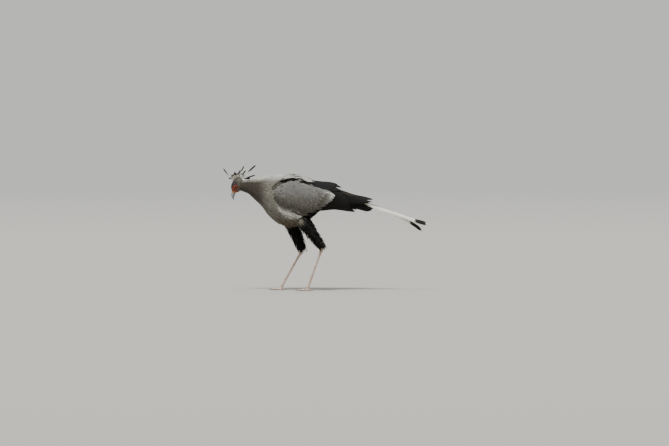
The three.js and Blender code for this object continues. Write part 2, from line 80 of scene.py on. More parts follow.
def tone(red, green, blue):  # a colour as a screen shows it, turned into light
    shares = np.array([red, green, blue]) / 255
    return ((shares + 0.055) / 1.055) ** 2.4


def mixTone(first, second, share):
    return first + (second - first) * np.asarray(share)[..., None]


def layTones(colour, *layers):  # each layer is a colour and the share of it that shows
    for other, share in layers:
        colour = mixTone(colour, other, share)
    return colour


# Stations along the body, in metres: along, top, bottom, half width

bodyStations = [
    (-0.590, 0.750, 0.694, 0.026), (-0.557, 0.759, 0.682, 0.036), (-0.525, 0.765, 0.668, 0.042),
    (-0.490, 0.771, 0.636, 0.052), (-0.440, 0.784, 0.588, 0.075), (-0.385, 0.795, 0.522, 0.098),
    (-0.330, 0.797, 0.474, 0.110), (-0.270, 0.794, 0.448, 0.115), (-0.210, 0.787, 0.446, 0.115),
    (-0.150, 0.772, 0.464, 0.108), (-0.090, 0.748, 0.508, 0.094), (-0.030, 0.722, 0.560, 0.072),
    (0.036, 0.700, 0.604, 0.048),
]
foldStations = [
    (-0.370, 0.796, 0.500, 0.104), (-0.300, 0.800, 0.456, 0.118), (-0.200, 0.793, 0.446, 0.120),
    (-0.120, 0.772, 0.470, 0.114), (-0.040, 0.744, 0.506, 0.102), (0.040, 0.728, 0.534, 0.086),
    (0.120, 0.697, 0.546, 0.070), (0.200, 0.668, 0.550, 0.058), (0.280, 0.648, 0.554, 0.048),
    (0.360, 0.624, 0.562, 0.040),
]
tailStations = [
    (0.036, 0.702, 0.610, 0.042), (0.120, 0.672, 0.590, 0.038), (0.200, 0.642, 0.566, 0.035),
    (0.280, 0.612, 0.545, 0.034), (0.350, 0.586, 0.530, 0.033), (0.500, 0.540, 0.484, 0.030),
    (0.720, 0.464, 0.412, 0.028),
]
# The head, down its own line to the bill: along, height above it, depth below it, half width
headStations = [
    (-0.055, 0.011, 0.009, 0.013), (-0.044, 0.026, 0.021, 0.024), (-0.022, 0.035, 0.031, 0.030),
    (0.002, 0.039, 0.034, 0.031), (0.022, 0.037, 0.032, 0.028), (0.038, 0.030, 0.024, 0.021),
    (0.050, 0.021, 0.012, 0.0135),
]
# Down a leg, as shares of its length: half depth, half width
thighStations = [
    (0.00, 0.020, 0.014), (0.12, 0.040, 0.033), (0.35, 0.036, 0.032), (0.65, 0.029, 0.026),
    (0.90, 0.023, 0.021), (1.00, 0.015, 0.014),
]
tarsusStations = [
    (0.00, 0.0110, 0.0100), (0.06, 0.0140, 0.0120), (0.14, 0.0090, 0.0080), (0.50, 0.0075, 0.0065),
    (0.90, 0.0085, 0.0085), (1.00, 0.0095, 0.0110),
]


def stationCurves(stations):  # curves through the stations, with the mean slope of both neighbours at each
    table = np.array(stations)
    places, values = table[:, 0], table[:, 1:]
    slopes = np.diff(values, axis=0) / np.diff(places)[:, None]
    slopes = np.concatenate([slopes[:1], (slopes[1:] + slopes[:-1]) / 2, slopes[-1:]])

    def sizes(at):
        at = np.asarray(at, float)
        i = np.clip(np.searchsorted(places, at) - 1, 0, len(places) - 2)
        step = (places[i + 1] - places[i])[..., None]
        p = np.clip((at - places[i])[..., None] / step, 0, 1)
        ahead = p * p * (3 - 2 * p)
        found = values[i] * (1 - ahead) + values[i + 1] * ahead
        found = found + step * (slopes[i] * p * (1 - p) ** 2 - slopes[i + 1] * p * p * (1 - p))
        return np.moveaxis(found, -1, 0)

    return sizes


class BodyShell:
    # upright sections along the body; angles grow from the back down the left side
    squareness = 0.86
    scale = 1

    def __init__(self, stations):
        self.sizes = stationCurves(stations)

    def rounded(self, value):
        return np.sign(value) * np.abs(value) ** self.squareness

    def radius(self, at):
        top, bottom, wide = self.sizes(at)
        return (wide + (top - bottom) / 2) / 2

    def point(self, at, angle, out=0.0):
        top, bottom, wide = self.sizes(at)
        turn = np.radians(angle)
        y = -(wide + out) * self.rounded(np.sin(turn))
        z = (top + bottom) / 2 + ((top - bottom) / 2 + out) * self.rounded(np.cos(turn))
        return np.stack(np.broadcast_arrays(at, y, z), -1)


headPitch = math.radians(70)  # below level
headCentre = np.array([-0.602, 0, 0.727])
headForward = np.array([-math.cos(headPitch), 0, -math.sin(headPitch)])
headLeft = np.array([0.0, -1.0, 0.0])
headUp = np.array([-math.sin(headPitch), 0, math.cos(headPitch)])


def headPoint(forward, left, up):
    forward, left, up = (np.asarray(v, float)[..., None] for v in (forward, left, up))
    return headCentre + forward * headForward + up * headUp + left * headLeft


def headPlace(points):  # forward, left and up of points, seen from the middle of the head
    local = points - headCentre
    return local @ headForward, local @ headLeft, local @ headUp


class HeadShell(BodyShell):
    # sections square to the head's own line; angles grow from the crown down the left cheek
    def radius(self, at):
        up, down, wide = self.sizes(at)
        return (wide + (up + down) / 2) / 2

    def point(self, at, angle, out=0.0):
        up, down, wide = self.sizes(at)
        turn = np.radians(angle)
        rise = np.cos(turn)
        return headPoint(at, (wide + out) * np.sin(turn), (np.where(rise > 0, up, down) + out) * rise)


class LimbShell:
    # sections square to the line from one end to the other; angles start at the back of the leg
    def __init__(self, start, end, stations):
        self.sizes = stationCurves(stations)
        self.start = np.array(start)
        self.along = np.array(end) - self.start
        self.scale = np.linalg.norm(self.along)
        self.back = np.cross(headLeft, self.along / self.scale)

    def radius(self, at):
        return self.sizes(at).mean(axis=0)

    def point(self, at, angle, out=0.0):
        deep, wide = self.sizes(at)
        turn = np.radians(angle)
        back = np.asarray((deep + out) * np.cos(turn))[..., None]
        left = np.asarray((wide + out) * np.sin(turn))[..., None]
        return self.start + np.asarray(at)[..., None] * self.along + back * self.back + left * headLeft


body = BodyShell(bodyStations)
fold = BodyShell(foldStations)
tailForm = BodyShell(tailStations)
head = HeadShell(headStations)

neckStart, torsoEnd = bodyStations[0][0], bodyStations[-1][0]
headStart, headEnd = headStations[0][0], headStations[-1][0]
eyePlace = {"forward": 0.025, "left": 0.019, "up": 0.002, "radius": 0.0105, "inset": 0.0002, "bulge": 0.0007}

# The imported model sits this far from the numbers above
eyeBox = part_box("eye_left")
eyeMiddle = headPoint(eyePlace["forward"], eyePlace["left"], eyePlace["up"])
shift = np.array((eyeBox[0] + eyeBox[1]) / 2) - eyeMiddle


# Shader maths

class Wire:
    # one socket of a finish, which takes part in sums as a number would
    def __init__(self, finish, socket):
        self.finish = finish
        self.socket = socket

    def maths(self, operation, first, second):
        return self.finish.add("ShaderNodeMath", {"operation": operation}, {0: first, 1: second})

    def __add__(self, other):
        return self.maths("ADD", self, other)

    __radd__ = __add__

    def __sub__(self, other):
        return self.maths("SUBTRACT", self, other)

    def __rsub__(self, other):
        return self.maths("SUBTRACT", other, self)

    def __mul__(self, other):
        return self.maths("MULTIPLY", self, other)

    __rmul__ = __mul__

    def __abs__(self):
        return self.maths("ABSOLUTE", self, 0)

    def sine(self):
        return self.maths("SINE", self, 0)


class Finish:
    # a material under way: add makes a node, the rest are short ways to the common ones
    def __init__(self, name):
        self.material = bpy.data.materials.new(name)
        self.material.use_nodes = True
        self.tree = self.material.node_tree
        self.tree.nodes.clear()

    def add(self, kind, settings, sockets, output=0):
        node = self.tree.nodes.new(kind)
        for key, value in settings.items():
            if key == "stops":
                ramp = node.color_ramp
                for place, colour in value[2:]:
                    ramp.elements.new(place)
                for element, (place, colour) in zip(ramp.elements, value):
                    element.position = place
                    element.color = (*colour, 1)
            else:
                setattr(node, key, value)
        for key, value in sockets.items():
            if isinstance(value, Wire):
                self.tree.links.new(value.socket, node.inputs[key])
            else:
                node.inputs[key].default_value = value
        return Wire(self, node.outputs[output]) if node.outputs else None

    def attribute(self, name, output="Color"):
        return self.add("ShaderNodeAttribute", {"attribute_name": name}, {}, output)

    def place(self):
        return self.add("ShaderNodeTexCoord", {}, {}, "Object")

    def part(self, vector, axis):
        return self.add("ShaderNodeSeparateXYZ", {}, {0: vector}, axis)

    def noise(self, scale, detail=3):
        sockets = {"Vector": self.place(), "Scale": scale, "Detail": detail}
        return self.add("ShaderNodeTexNoise", {}, sockets)

    def cells(self, scale, feature="F1"):
        sockets = {"Vector": self.place(), "Scale": scale}
        return self.add("ShaderNodeTexVoronoi", {"feature": feature}, sockets)

    def smooth(self, value, low, high):
        settings = {"interpolation_type": "SMOOTHSTEP"}
        return self.add("ShaderNodeMapRange", settings, {0: value, 1: low, 2: high})

    def blend(self, share, first, second, way="MIX"):
        first, second = (c if isinstance(c, Wire) else (*c, 1) for c in (first, second))
        settings = {"data_type": "RGBA", "blend_type": way}
        return self.add("ShaderNodeMix", settings, {0: share, 6: first, 7: second}, 2)

    def ramp(self, value, stops):
        return self.add("ShaderNodeValToRGB", {"stops": stops}, {0: value})

    def bump(self, height, depth, strength=1.0):
        return self.add("ShaderNodeBump", {}, {"Strength": strength, "Distance": depth, "Height": height})

    def surface(self, **sockets):
        named = {key.replace("_", " "): value for key, value in sockets.items()}
        shader = self.add("ShaderNodeBsdfPrincipled", {}, named)
        self.add("ShaderNodeOutputMaterial", {}, {"Surface": shader})
        return self.material


# Feather finishes: the ground and rim colours come with each feather

def plumageFinish(name, look):
    finish = Finish(name)
    spread = finish.add("ShaderNodeUVMap", {"uv_map": "vane"}, {})
    across, along = finish.part(spread, 0), finish.part(spread, 1)
    across = abs(across * 2 - 1)
    size = finish.attribute("size", "Vector")
    long, half = finish.part(size, 0), finish.part(size, 1)
    mottle = finish.noise(look["mottleScale"], 4)
    barbPath = along * long - across * half * look["barbSlant"]
    barbs = (barbPath * (math.tau / look["barbGap"])).sine() * 0.5 + 0.5
    fringe = finish.smooth(across + (mottle - 0.5) * 0.3, 0.55, 1.0)
    tip = finish.smooth(along + (mottle - 0.5) * 0.15, look["tipStart"], 1.0)
    rim = finish.smooth(fringe * look["fringe"] + tip * look["tip"], 0, 1)
    shaft = 1 - finish.smooth(across, 0.02, 0.10)
    colour = finish.blend(rim, finish.attribute("ground"), finish.attribute("rim"))
    colour = finish.blend(shaft * look["shaft"], colour, look["shaftTone"])
    shade = 1 - look["mottle"] / 2 + mottle * look["mottle"] - barbs * look["barbShade"]
    grey = finish.add("ShaderNodeCombineXYZ", {}, {0: shade, 1: shade, 2: shade})
    return finish.surface(
        Base_Color=finish.blend(1, colour, grey, "MULTIPLY"),
        Roughness=look["roughness"] + (mottle - 0.5) * 0.2 + barbs * 0.05,
        Normal=finish.bump(barbs * 0.5 + shaft * 2 + mottle * 0.5, look["barbDepth"], 0.7),
        Sheen_Weight=look["sheen"], Sheen_Roughness=0.5, Specular_IOR_Level=look["gloss"],
    )


softPlumage = {
    "mottleScale": 34.0, "mottle": 0.34, "barbGap": 0.0011, "barbSlant": 1.4, "barbDepth": 0.0004,
    "barbShade": 0.10, "tipStart": 0.72, "tip": 0.9, "fringe": 0.45, "shaft": 0.35,
    "shaftTone": tone(96, 92, 84), "roughness": 0.82, "sheen": 0.12, "gloss": 0.25,
}
blackPlumage = {
    **softPlumage,
    "mottle": 0.5, "barbShade": 0.25, "shaft": 0.5, "shaftTone": tone(24, 21, 19),
    "roughness": 0.66, "sheen": 0.0, "gloss": 0.16, "tip": 0.8, "fringe": 0.5,
}
greyFeathers = plumageFinish("greyFeathers", softPlumage)
blackFeathers = plumageFinish("blackFeathers", blackPlumage)
downFeathers = plumageFinish("downFeathers", {**softPlumage, "shaft": 0.1, "barbShade": 0.05, "tip": 0.6})


def skinFinish():
    finish = Finish("skin")
    grain = finish.noise(420, 4)
    pores = finish.cells(650)
    return finish.surface(
        Base_Color=finish.blend(grain * 0.5, finish.attribute("ground"), tone(60, 52, 46)),
        Roughness=0.75 + grain * 0.2, Normal=finish.bump(grain + pores * 0.5, 0.0006), Specular_IOR_Level=0.3,
    )


# Making pieces

def makeObject(name, mesh, material, slot, nodes=()):
    piece = bpy.data.objects.new(name, mesh)
    bpy.context.scene.collection.objects.link(piece)
    if material:
        mesh.materials.append(material)
    if slot:
        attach(piece, "root")
    if nodes:
        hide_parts(*nodes)
    return piece


def plainMesh(name, points, faces):
    mesh = bpy.data.meshes.new(name)
    mesh.from_pydata((points + shift).tolist(), [], faces)
    mesh.validate()
    mesh.shade_smooth()
    return mesh


def setColours(mesh, name, values):
    values = np.asarray(values, np.float32).reshape(-1, 3)
    full = np.concatenate([values, np.ones((len(values), 1), np.float32)], axis=1)
    mesh.attributes.new(name, "FLOAT_COLOR", "POINT").data.foreach_set("color", full.ravel())


def tubeFaces(rows, sides, loop=False):  # a tube with flat ends, or one whose last row joins the first
    faces = []
    for row in range(rows if loop else rows - 1):
        here, there = row * sides, (row + 1) % rows * sides
        for i in range(sides):
            j = (i + 1) % sides
            faces.append((here + i, here + j, there + j, there + i))
    if not loop:
        faces.append(tuple(reversed(range(sides))))
        faces.append(tuple((rows - 1) * sides + i for i in range(sides)))
    return faces


def outward(points, faces):  # faces turned so that they face out
    points = points - points.mean(axis=0)
    total = 0
    for face in faces:
        a = points[face[0]]
        for b, c in zip(face[1:], face[2:]):
            total += np.dot(a, np.cross(points[b], points[c]))
    return faces if total > 0 else [tuple(reversed(face)) for face in faces]


def solidForm(grid, loop=False):  # points and faces of a closed form, from a grid of rows around it
    points = grid.reshape(-1, 3)
    return points, outward(points, tubeFaces(*grid.shape[:2], loop))


def joinForms(forms):
    faces, start = [], 0
    for points, corners in forms:
        faces += [tuple(start + i for i in face) for face in corners]
        start += len(points)
    return np.concatenate([points for points, corners in forms]), faces


def solidPiece(name, forms, finish, slot, nodes=(), ground=None):
    mesh = plainMesh(name, *joinForms(forms))
    if ground is not None:
        setColours(mesh, "ground", ground)
    return makeObject(name, mesh, finish, slot, nodes)


def tube(shell, ats, sides, out=0.0):
    angles = np.arange(sides) * 360 / sides
    at, angle = np.meshgrid(ats, angles, indexing="ij")
    return solidForm(shell.point(at, angle, np.broadcast_to(np.reshape(out, (-1, 1)), at.shape)))


def lensFaces(rows, columns):
    # two faces of a thin closed form that share the points of their rim
    top = np.arange(rows * columns).reshape(rows, columns)
    low = top.copy()
    low[1:-1, 1:-1] = rows * columns + np.arange((rows - 2) * (columns - 2)).reshape(rows - 2, -1)

    def quads(grid):
        corners = [grid[:-1, :-1], grid[:-1, 1:], grid[1:, 1:], grid[1:, :-1]]
        return np.stack(corners, -1).reshape(-1, 4)

    return np.concatenate([quads(top), quads(low)[:, ::-1]])


def quadMesh(name, points, quads):
    mesh = bpy.data.meshes.new(name)
    mesh.vertices.add(len(points))
    mesh.vertices.foreach_set("co", (points + shift).astype(np.float32).ravel())
    mesh.loops.add(quads.size)
    mesh.loops.foreach_set("vertex_index", quads.astype(np.int32).ravel())
    mesh.polygons.add(len(quads))
    mesh.polygons.foreach_set("loop_start", np.arange(0, quads.size, 4, dtype=np.int32))
    mesh.update(calc_edges=True)
    mesh.shade_smooth()
    return mesh


def setMap(mesh, name, places, quads):
    layer = mesh.uv_layers.new(name=name)
    layer.data.foreach_set("uv", places[quads.ravel()].astype(np.float32).ravel())


def featherPiece(name, top, low, feathers, finish, slot, nodes=(), patches=None):
    # top and low hold a grid of points for each feather; feathers has its colours and sizes
    count, rows, columns = top.shape[:3]
    points = np.concatenate([top.reshape(count, -1, 3), low[:, 1:-1, 1:-1].reshape(count, -1, 3)], axis=1)
    each = points.shape[1]
    quads = lensFaces(rows, columns)
    corner = points[:, quads] - points.mean(axis=1)[:, None, None]
    volume = np.einsum("nfk,nfk->n", corner[:, :, 0], np.cross(corner[:, :, 1], corner[:, :, 2]))
    volume += np.einsum("nfk,nfk->n", corner[:, :, 0], np.cross(corner[:, :, 2], corner[:, :, 3]))
    quads = np.where((volume < 0)[:, None, None], quads[None, :, ::-1], quads[None])
    quads = (quads + np.arange(count)[:, None, None] * each).reshape(-1, 4)
    mesh = quadMesh(name, points.reshape(-1, 3), quads)

    def spread(grid):  # the grid's values at the points of both faces
        flat = grid.reshape(count, rows * columns, -1)
        inner = grid[:, 1:-1, 1:-1].reshape(count, -1, grid.shape[-1])
        return np.concatenate([flat, inner], axis=1).reshape(count * each, -1)

    across = np.broadcast_to(np.linspace(0, 1, columns)[None, None, :], (count, rows, columns))
    along = np.broadcast_to(feathers["steps"][None, :, None], (count, rows, columns))
    if patches is None:  # each feather has a strip of its own
        order = np.arange(count)[:, None, None]
        strip = np.stack([(order + 0.04 + 0.92 * across) / count, 0.01 + 0.98 * along], -1)
    else:
        strip = patches[:, None, None] + 0.003 * (np.stack([across, along], -1) - 0.5)
    setMap(mesh, "OFBake", spread(np.clip(strip, 0, 1)), quads)
    setMap(mesh, "vane", spread(np.stack([across, along], -1)), quads)
    shape = (count, rows, columns, 3)
    ground = feathers["ground"]
    if ground.ndim == 2:
        ground = ground[:, None, None]
    setColours(mesh, "ground", spread(np.broadcast_to(ground, shape)))
    setColours(mesh, "rim", spread(np.broadcast_to(feathers["rim"][:, None, None], shape)))
    sizes = np.stack([feathers["long"], feathers["half"], 0 * feathers["half"]], -1)
    layer = mesh.attributes.new("size", "FLOAT_VECTOR", "POINT")
    values = spread(np.broadcast_to(sizes[:, None, None], shape))
    layer.data.foreach_set("vector", values.astype(np.float32).ravel())
    mesh.set_sharp_from_angle(angle=math.radians(60))
    return makeObject(name, mesh, finish, slot, nodes)


# Feathers that lie on a shell

outlines = {
    # width at the root, where it starts to grow and is full, where it narrows and ends, the share that
    # it loses there, and 0.5 for a rounded end or 1 for a pointed one
    "contour": (0.35, 0, 0.45, 0.55, 1.02, 1, 0.5),
    "soft": (0.45, 0, 0.40, 0.55, 1.00, 0.5, 1),
    "round": (0.40, 0, 0.50, 0.72, 1.04, 1, 0.5),
    "flight": (0.50, 0, 0.30, 0.80, 1.01, 1, 0.5),
    "lock": (0.50, 0, 0.25, 0.35, 1.00, 0.93, 1),
    "spoon": (0.16, 0.40, 0.82, 0.88, 1.01, 1, 0.5),
}


def outline(name, t):  # half width along a feather, as a share of its widest
    start, grow, full, narrow, end, loss, power = outlines[name]
    return mix(start, 1, smooth(t, grow, full)) * (1 - loss * smooth(t, narrow, end)) ** power


vaneKeys = ("rootAt", "rootAngle", "tipAt", "tipAngle", "half", "low", "high", "lift", "tilt", "camber",
            "bow", "fray", "ragged", "thick")


def layVanes(shell, feathers, look, side=1):
    # feathers holds one number, or one for each feather, for each of the keys above
    count = len(feathers["rootAt"])
    rows, columns = look["rows"], look["columns"]
    f = {key: np.broadcast_to(np.asarray(feathers[key], float), (count,))[:, None, None] for key in vaneKeys}
    t = np.linspace(0, 1, rows) ** 0.85
    t3, u3 = t[None, :, None], np.linspace(-1, 1, columns)[None, None, :]
    width = outline(look["outline"], t)[None, :, None]
    fray = 1 - f["fray"] * chance.random((count, rows, columns)) * np.abs(u3) * smooth(t3, 0.15, 0.6)
    reach = 1 - f["ragged"] * (chance.random((count, 1, columns)) + u3 * u3)
    at = mix(f["rootAt"], f["tipAt"], t3 * reach)
    turn = np.degrees(u3 * f["half"] * width * fray / shell.radius(at))
    angle = mix(f["rootAngle"], f["tipAngle"], t3) + turn + f["bow"] * np.sin(math.pi * t3)
    rise = mix(f["low"], f["high"], smooth(t3, 0, 0.5)) + f["lift"] * t3 ** 2
    rise = rise + f["tilt"] * u3 - f["camber"] * u3 ** 2 * width
    rise = rise + 0.6 * f["thick"] * chance.normal(size=(count, rows, 1)) * f["fray"]
    thick = f["thick"] * (1.15 - u3 ** 2) * (1 - 0.6 * t3)
    shaft = f["thick"] * 0.9 * (np.abs(u3) < 1e-6) * (1 - 0.5 * t3)
    top = shell.point(at, side * angle, rise + thick / 2 + shaft)
    low = shell.point(at, side * angle, rise - thick / 2 - shaft * 0.6)
    return top, low, t


def brickRows(start, end, gap):
    return np.linspace(start, end, max(2, int(round((end - start) / gap)) + 1))


def spreadRoots(shell, ats, around, low=-180, high=180):
    # rows of roots set like bricks, around apart at the same distance along
    found = []
    around = np.broadcast_to(np.asarray(around, float), (len(ats),))
    for order, at in enumerate(ats):
        angles = np.linspace(low, high, 241)
        places = shell.point(np.full_like(angles, at), angles)
        lengths = np.concatenate([[0], np.cumsum(np.linalg.norm(np.diff(places, axis=0), axis=1))])
        number = max(3, int(lengths[-1] / around[order]))
        wanted = (np.arange(number) + 0.25 + 0.5 * (order % 2)) / number * lengths[-1]
        found.append(np.stack([np.full(number, at), np.interp(wanted, lengths, angles)], -1))
    return np.concatenate(found)


def laid(value, at, angle):
    # a setting for each feather: one number, a function, or the start and end of a slope, which runs
    # along the whole form or between the two places that follow
    if callable(value):
        return value(at, angle)
    if isinstance(value, tuple):
        return mix(value[0], value[1], smooth(at, *value[2:]) if value[2:] else at)
    return value


coatSpread = {"along": 0.35, "around": 0.3, "long": 0.16, "half": 0.12, "lift": 0.5, "tilt": 0.12}


def coat(name, shell, roots, look, marking, finish, slot, nodes=(), way=1):
    # short feathers over a shell, from their roots; way is -1 where they lie towards smaller numbers along
    count = len(roots)
    at, angle = roots.T

    def either():
        return chance.uniform(-1, 1, count)

    def vary(share):
        return 1 + share * either()

    gap = laid(look["gap"], at, angle)
    at = at + gap * coatSpread["along"] * either() / shell.scale
    angle = angle + np.degrees(gap * coatSpread["around"] * either() / shell.radius(at))
    long = laid(look["long"], at, angle) * vary(coatSpread["long"])
    fall = np.radians(laid(look["fall"], at, angle) + either() * look["stray"])
    low = laid(look["low"], at, angle)
    feathers = {
        **look,
        "rootAt": at,
        "rootAngle": angle,
        "tipAt": at + way * long * np.cos(fall) / shell.scale,
        "tipAngle": angle + np.degrees(long * np.sin(fall) / shell.radius(at)),
        "half": long * look["half"] * vary(coatSpread["half"]),
        "low": low,
        "high": laid(look["high"], at, angle) + look["loose"] * chance.uniform(-0.5, 1, count),
        "lift": look["lift"] * vary(coatSpread["lift"]),
        "tilt": look["half"] * long * coatSpread["tilt"] * either(),
        "camber": look["half"] * long * look["camber"],
        "bow": 0,
    }
    top, under, steps = layVanes(shell, feathers, look)
    ground, rim = marking(at, angle, vary)
    colours = {"ground": ground, "rim": rim, "long": long, "half": feathers["half"], "steps": steps}
    patches = skinPatches(shell.point(at, angle, low))
    return featherPiece(name, top, under, colours, finish, slot, nodes, patches)


# Colours of the body, by the distance along it and the angle from the back

mantleTone = tone(190, 188, 182)
napeTone = tone(180, 176, 161)
# neck sides and throat: pale grey darkened with painted shade
neckSideShadeTone = tone(62, 56, 48)
throatShadeTone = tone(78, 72, 62)
# breast and belly: their own grey and tan, darkened with painted shade of the underside
breastGreyAndShadeTone = tone(112, 110, 99)
bellyTanAndShadeTone = tone(96, 83, 65)
flankTone = tone(232, 230, 222)
# vent: the black of the lower belly, also standing in for the shade under the tail
ventBlackAndShadeTone = tone(16, 16, 15)
thighTone = tone(17, 17, 16)
tuckTone = tone(120, 117, 106)
paleRim = tone(216, 213, 205)
# crown: dark with painted shade under the crest
crownShadeTone = tone(56, 47, 41)
cheekTone = tone(108, 106, 92)
chinTone = tone(128, 122, 106)
# lores and forehead: dark with painted shade under the crest
loreShadeTone = tone(42, 31, 28)
# dark red of the lid rim; also painted shade in the crease round the eye and in the skin's hollow under it
lidRimAndShadeTone = tone(34, 9, 9)


def bodyTones(at, angle):
    side = np.abs(angle)
    flankAngle = np.interp(at, [-0.34, -0.312, -0.219, -0.17, -0.136], [107, 111, 119, 130, 146])
    flank = hump(side, flankAngle, mix(6, 10, smooth(at, -0.32, -0.2))) * smooth(at, -0.36, -0.31)
    neck = layTones(
        napeTone,
        # painted shade down the neck's sides and on the throat
        (neckSideShadeTone, smooth(side, 20, 58)),
        (throatShadeTone, smooth(side, 120, 165)),
    )
    trunk = layTones(
        mantleTone,
        # breast and belly darker partly with painted shade of the underside
        (breastGreyAndShadeTone, smooth(side, 18, 54)),
        (bellyTanAndShadeTone, smooth(side, 122, 146) * smooth(at, -0.40, -0.30)),
        (flankTone, flank),
        # black vent, partly painted shade under the tail
        (ventBlackAndShadeTone, smooth(at, -0.178, -0.155) * smooth(side, 40, 75)),
    )
    return mixTone(neck, trunk, smooth(at, -0.480, -0.395))


def bodyMarking(at, angle, vary):
    ground = bodyTones(at, angle) * vary(0.12)[:, None]
    rim = mixTone(ground, paleRim, 0.28 * smooth(ground.mean(axis=1), 0.03, 0.2))
    return ground * 0.93, rim


def headTones(points):
    forward, left, up = headPlace(points)
    return layTones(
        cheekTone,
        # painted shade of the crest over the crown and forehead
        (crownShadeTone, smooth(up, -0.004, 0.012)),
        (loreShadeTone, smooth(up, 0.006, 0.020) * smooth(forward, -0.034, -0.014)),
        (chinTone, smooth(-up, 0.014, 0.028)),
    )


def headMarking(at, angle, vary):
    ground = headTones(head.point(at, angle)) * vary(0.15)[:, None]
    return ground * 0.9, mixTone(ground, paleRim, 0.3)


# One skin under all the feathers: body, head, thighs, wing roots and the root of the tail

footHeight = 0.016
tarsusLength = 0.300
stanceHalf = 0.058


def legFrom(side, hip, ankle):
    drop = ankle[2] - footHeight
    foot = (ankle[0] - math.sqrt(tarsusLength ** 2 - drop ** 2), stanceHalf, footHeight)
    places = {"hip": hip, "ankle": ankle, "foot": foot}
    return {"side": side, **{k: np.array([x, -side * y, z]) for k, (x, y, z) in places.items()}}


legs = {
    "left": legFrom(1, (-0.180, 0.060, 0.530), (-0.016, stanceHalf, 0.298)),
    "right": legFrom(-1, (-0.250, 0.060, 0.512), (-0.154, stanceHalf, 0.276)),
}
thighs = {name: LimbShell(leg["hip"], leg["ankle"], thighStations) for name, leg in legs.items()}

skinLook = {
    "voxel": 0.0042, "bodyCoat": 0.009, "neckCoat": 0.004, "headCoat": 0.0014, "thighCoat": 0.009,
    "tailStart": -0.006, "tailEnd": -0.020, "eyeRoom": 0.007, "armOuter": -0.002, "armInner": -0.016,
}


def coatDepth(at):
    return mix(skinLook["neckCoat"], skinLook["bodyCoat"], smooth(at, -0.58, -0.42))


def wingArm(side):
    # the folded arm: a slab on the side of the body that carries the wing's feathers
    rows, columns = 16, 14
    v, u = np.meshgrid(np.linspace(0, 1, rows), np.linspace(0, 1, columns), indexing="ij")
    at = mix(-0.345, -0.030, v) + 0.026 * (2 * u - 0.9) ** 2 * (1 - v)
    top = mix(46, 14, smooth(v, 0.5, 0.8))
    low = mix(105, 123, smooth(v, 0.3, 0.65)) - 8 * smooth(v, 0.7, 1)
    angle = side * mix(top, low, u)
    outer = fold.point(at, angle, skinLook["armOuter"]).reshape(-1, 3)
    inner = fold.point(at, angle, skinLook["armInner"])[1:-1, 1:-1].reshape(-1, 3)
    points = np.concatenate([outer, inner])
    return points, outward(points, [tuple(q) for q in lensFaces(rows, columns).tolist()])


def eyeHollow(points):  # 1 under an eye, where the skin makes room for it, and 0 elsewhere
    forward, left, up = headPlace(points)
    off, left = np.hypot(forward - eyePlace["forward"], up - eyePlace["up"]), np.abs(left)
    return (1 - smooth(off, 0.0100, 0.0165)) * smooth(left, 0.003, 0.010) * (1 - smooth(left, 0.040, 0.050))


def makeSkin():
    bodyAts = np.linspace(neckStart, torsoEnd, 90)
    tailOut = np.linspace(skinLook["tailStart"], skinLook["tailEnd"], 14)
    forms = [
        tube(body, bodyAts, 56, -coatDepth(bodyAts)),
        tube(head, np.linspace(headStart, headEnd, 30), 40, -skinLook["headCoat"]),
        tube(tailForm, np.linspace(torsoEnd - 0.03, 0.150, 14), 24, tailOut),
        wingArm(1),
        wingArm(-1),
    ]
    thighOut = -skinLook["thighCoat"] * np.linspace(1, 0.2, 40)
    forms += [tube(shell, np.linspace(0, 0.985, 40), 28, thighOut) for shell in thighs.values()]
    rough = makeObject("skinRough", plainMesh("skinRough", *joinForms(forms)), None, None)
    remesh = rough.modifiers.new("remesh", "REMESH")
    remesh.mode = "VOXEL"
    remesh.voxel_size = skinLook["voxel"]
    soften = rough.modifiers.new("soften", "SMOOTH")
    soften.factor = 0.5
    soften.iterations = 3
    mesh = bpy.data.meshes.new_from_object(rough.evaluated_get(bpy.context.evaluated_depsgraph_get()))
    mesh.name = "skin"
    bpy.data.objects.remove(rough)
    mesh.shade_smooth()
    places = skinPoints(mesh)
    inward = eyeHollow(places) * np.sign(headPlace(places)[1])
    places = places - skinLook["eyeRoom"] * inward[:, None] * headLeft
    mesh.vertices.foreach_set("co", (places + shift).astype(np.float32).ravel())
    skin = makeObject("skin", mesh, None, "body_plumage", ["torso", "neck", "thigh_left", "thigh_right"])
    unwrapSkin(skin)
    return skin


def unwrapSkin(skin):
    skin.data.uv_layers.new(name="OFBake")
    bpy.context.view_layer.objects.active = skin
    skin.select_set(True)
    bpy.ops.object.mode_set(mode="EDIT")
    bpy.ops.mesh.select_all(action="SELECT")
    bpy.ops.uv.smart_project(angle_limit=math.radians(66), island_margin=0.002)
    bpy.ops.object.mode_set(mode="OBJECT")
    skin.select_set(False)


def skinPoints(mesh):
    places = np.zeros(len(mesh.vertices) * 3, np.float32)
    mesh.vertices.foreach_get("co", places)
    return places.reshape(-1, 3) - shift


def skinTones(points):
    # the same markings as the feathers above it
    x, y, z = points.T
    top, bottom, wide = body.sizes(x)
    angle = np.degrees(np.arctan2(-y / wide, (z - (top + bottom) / 2) / ((top - bottom) / 2)))
    onHead = (x < -0.575) | (headPlace(points)[0] > 0.01)
    return layTones(
        np.where(onHead[:, None], headTones(points), bodyTones(x, angle)),
        (thighTone, smooth(-z, -0.50, -0.44) * (x > -0.26)),
        # the skin under the tail black, partly painted shade
        (ventBlackAndShadeTone, smooth(x, 0.0, 0.04)),
        # painted shade in the skin's hollow under the eye
        (lidRimAndShadeTone, eyeHollow(points)),
    )


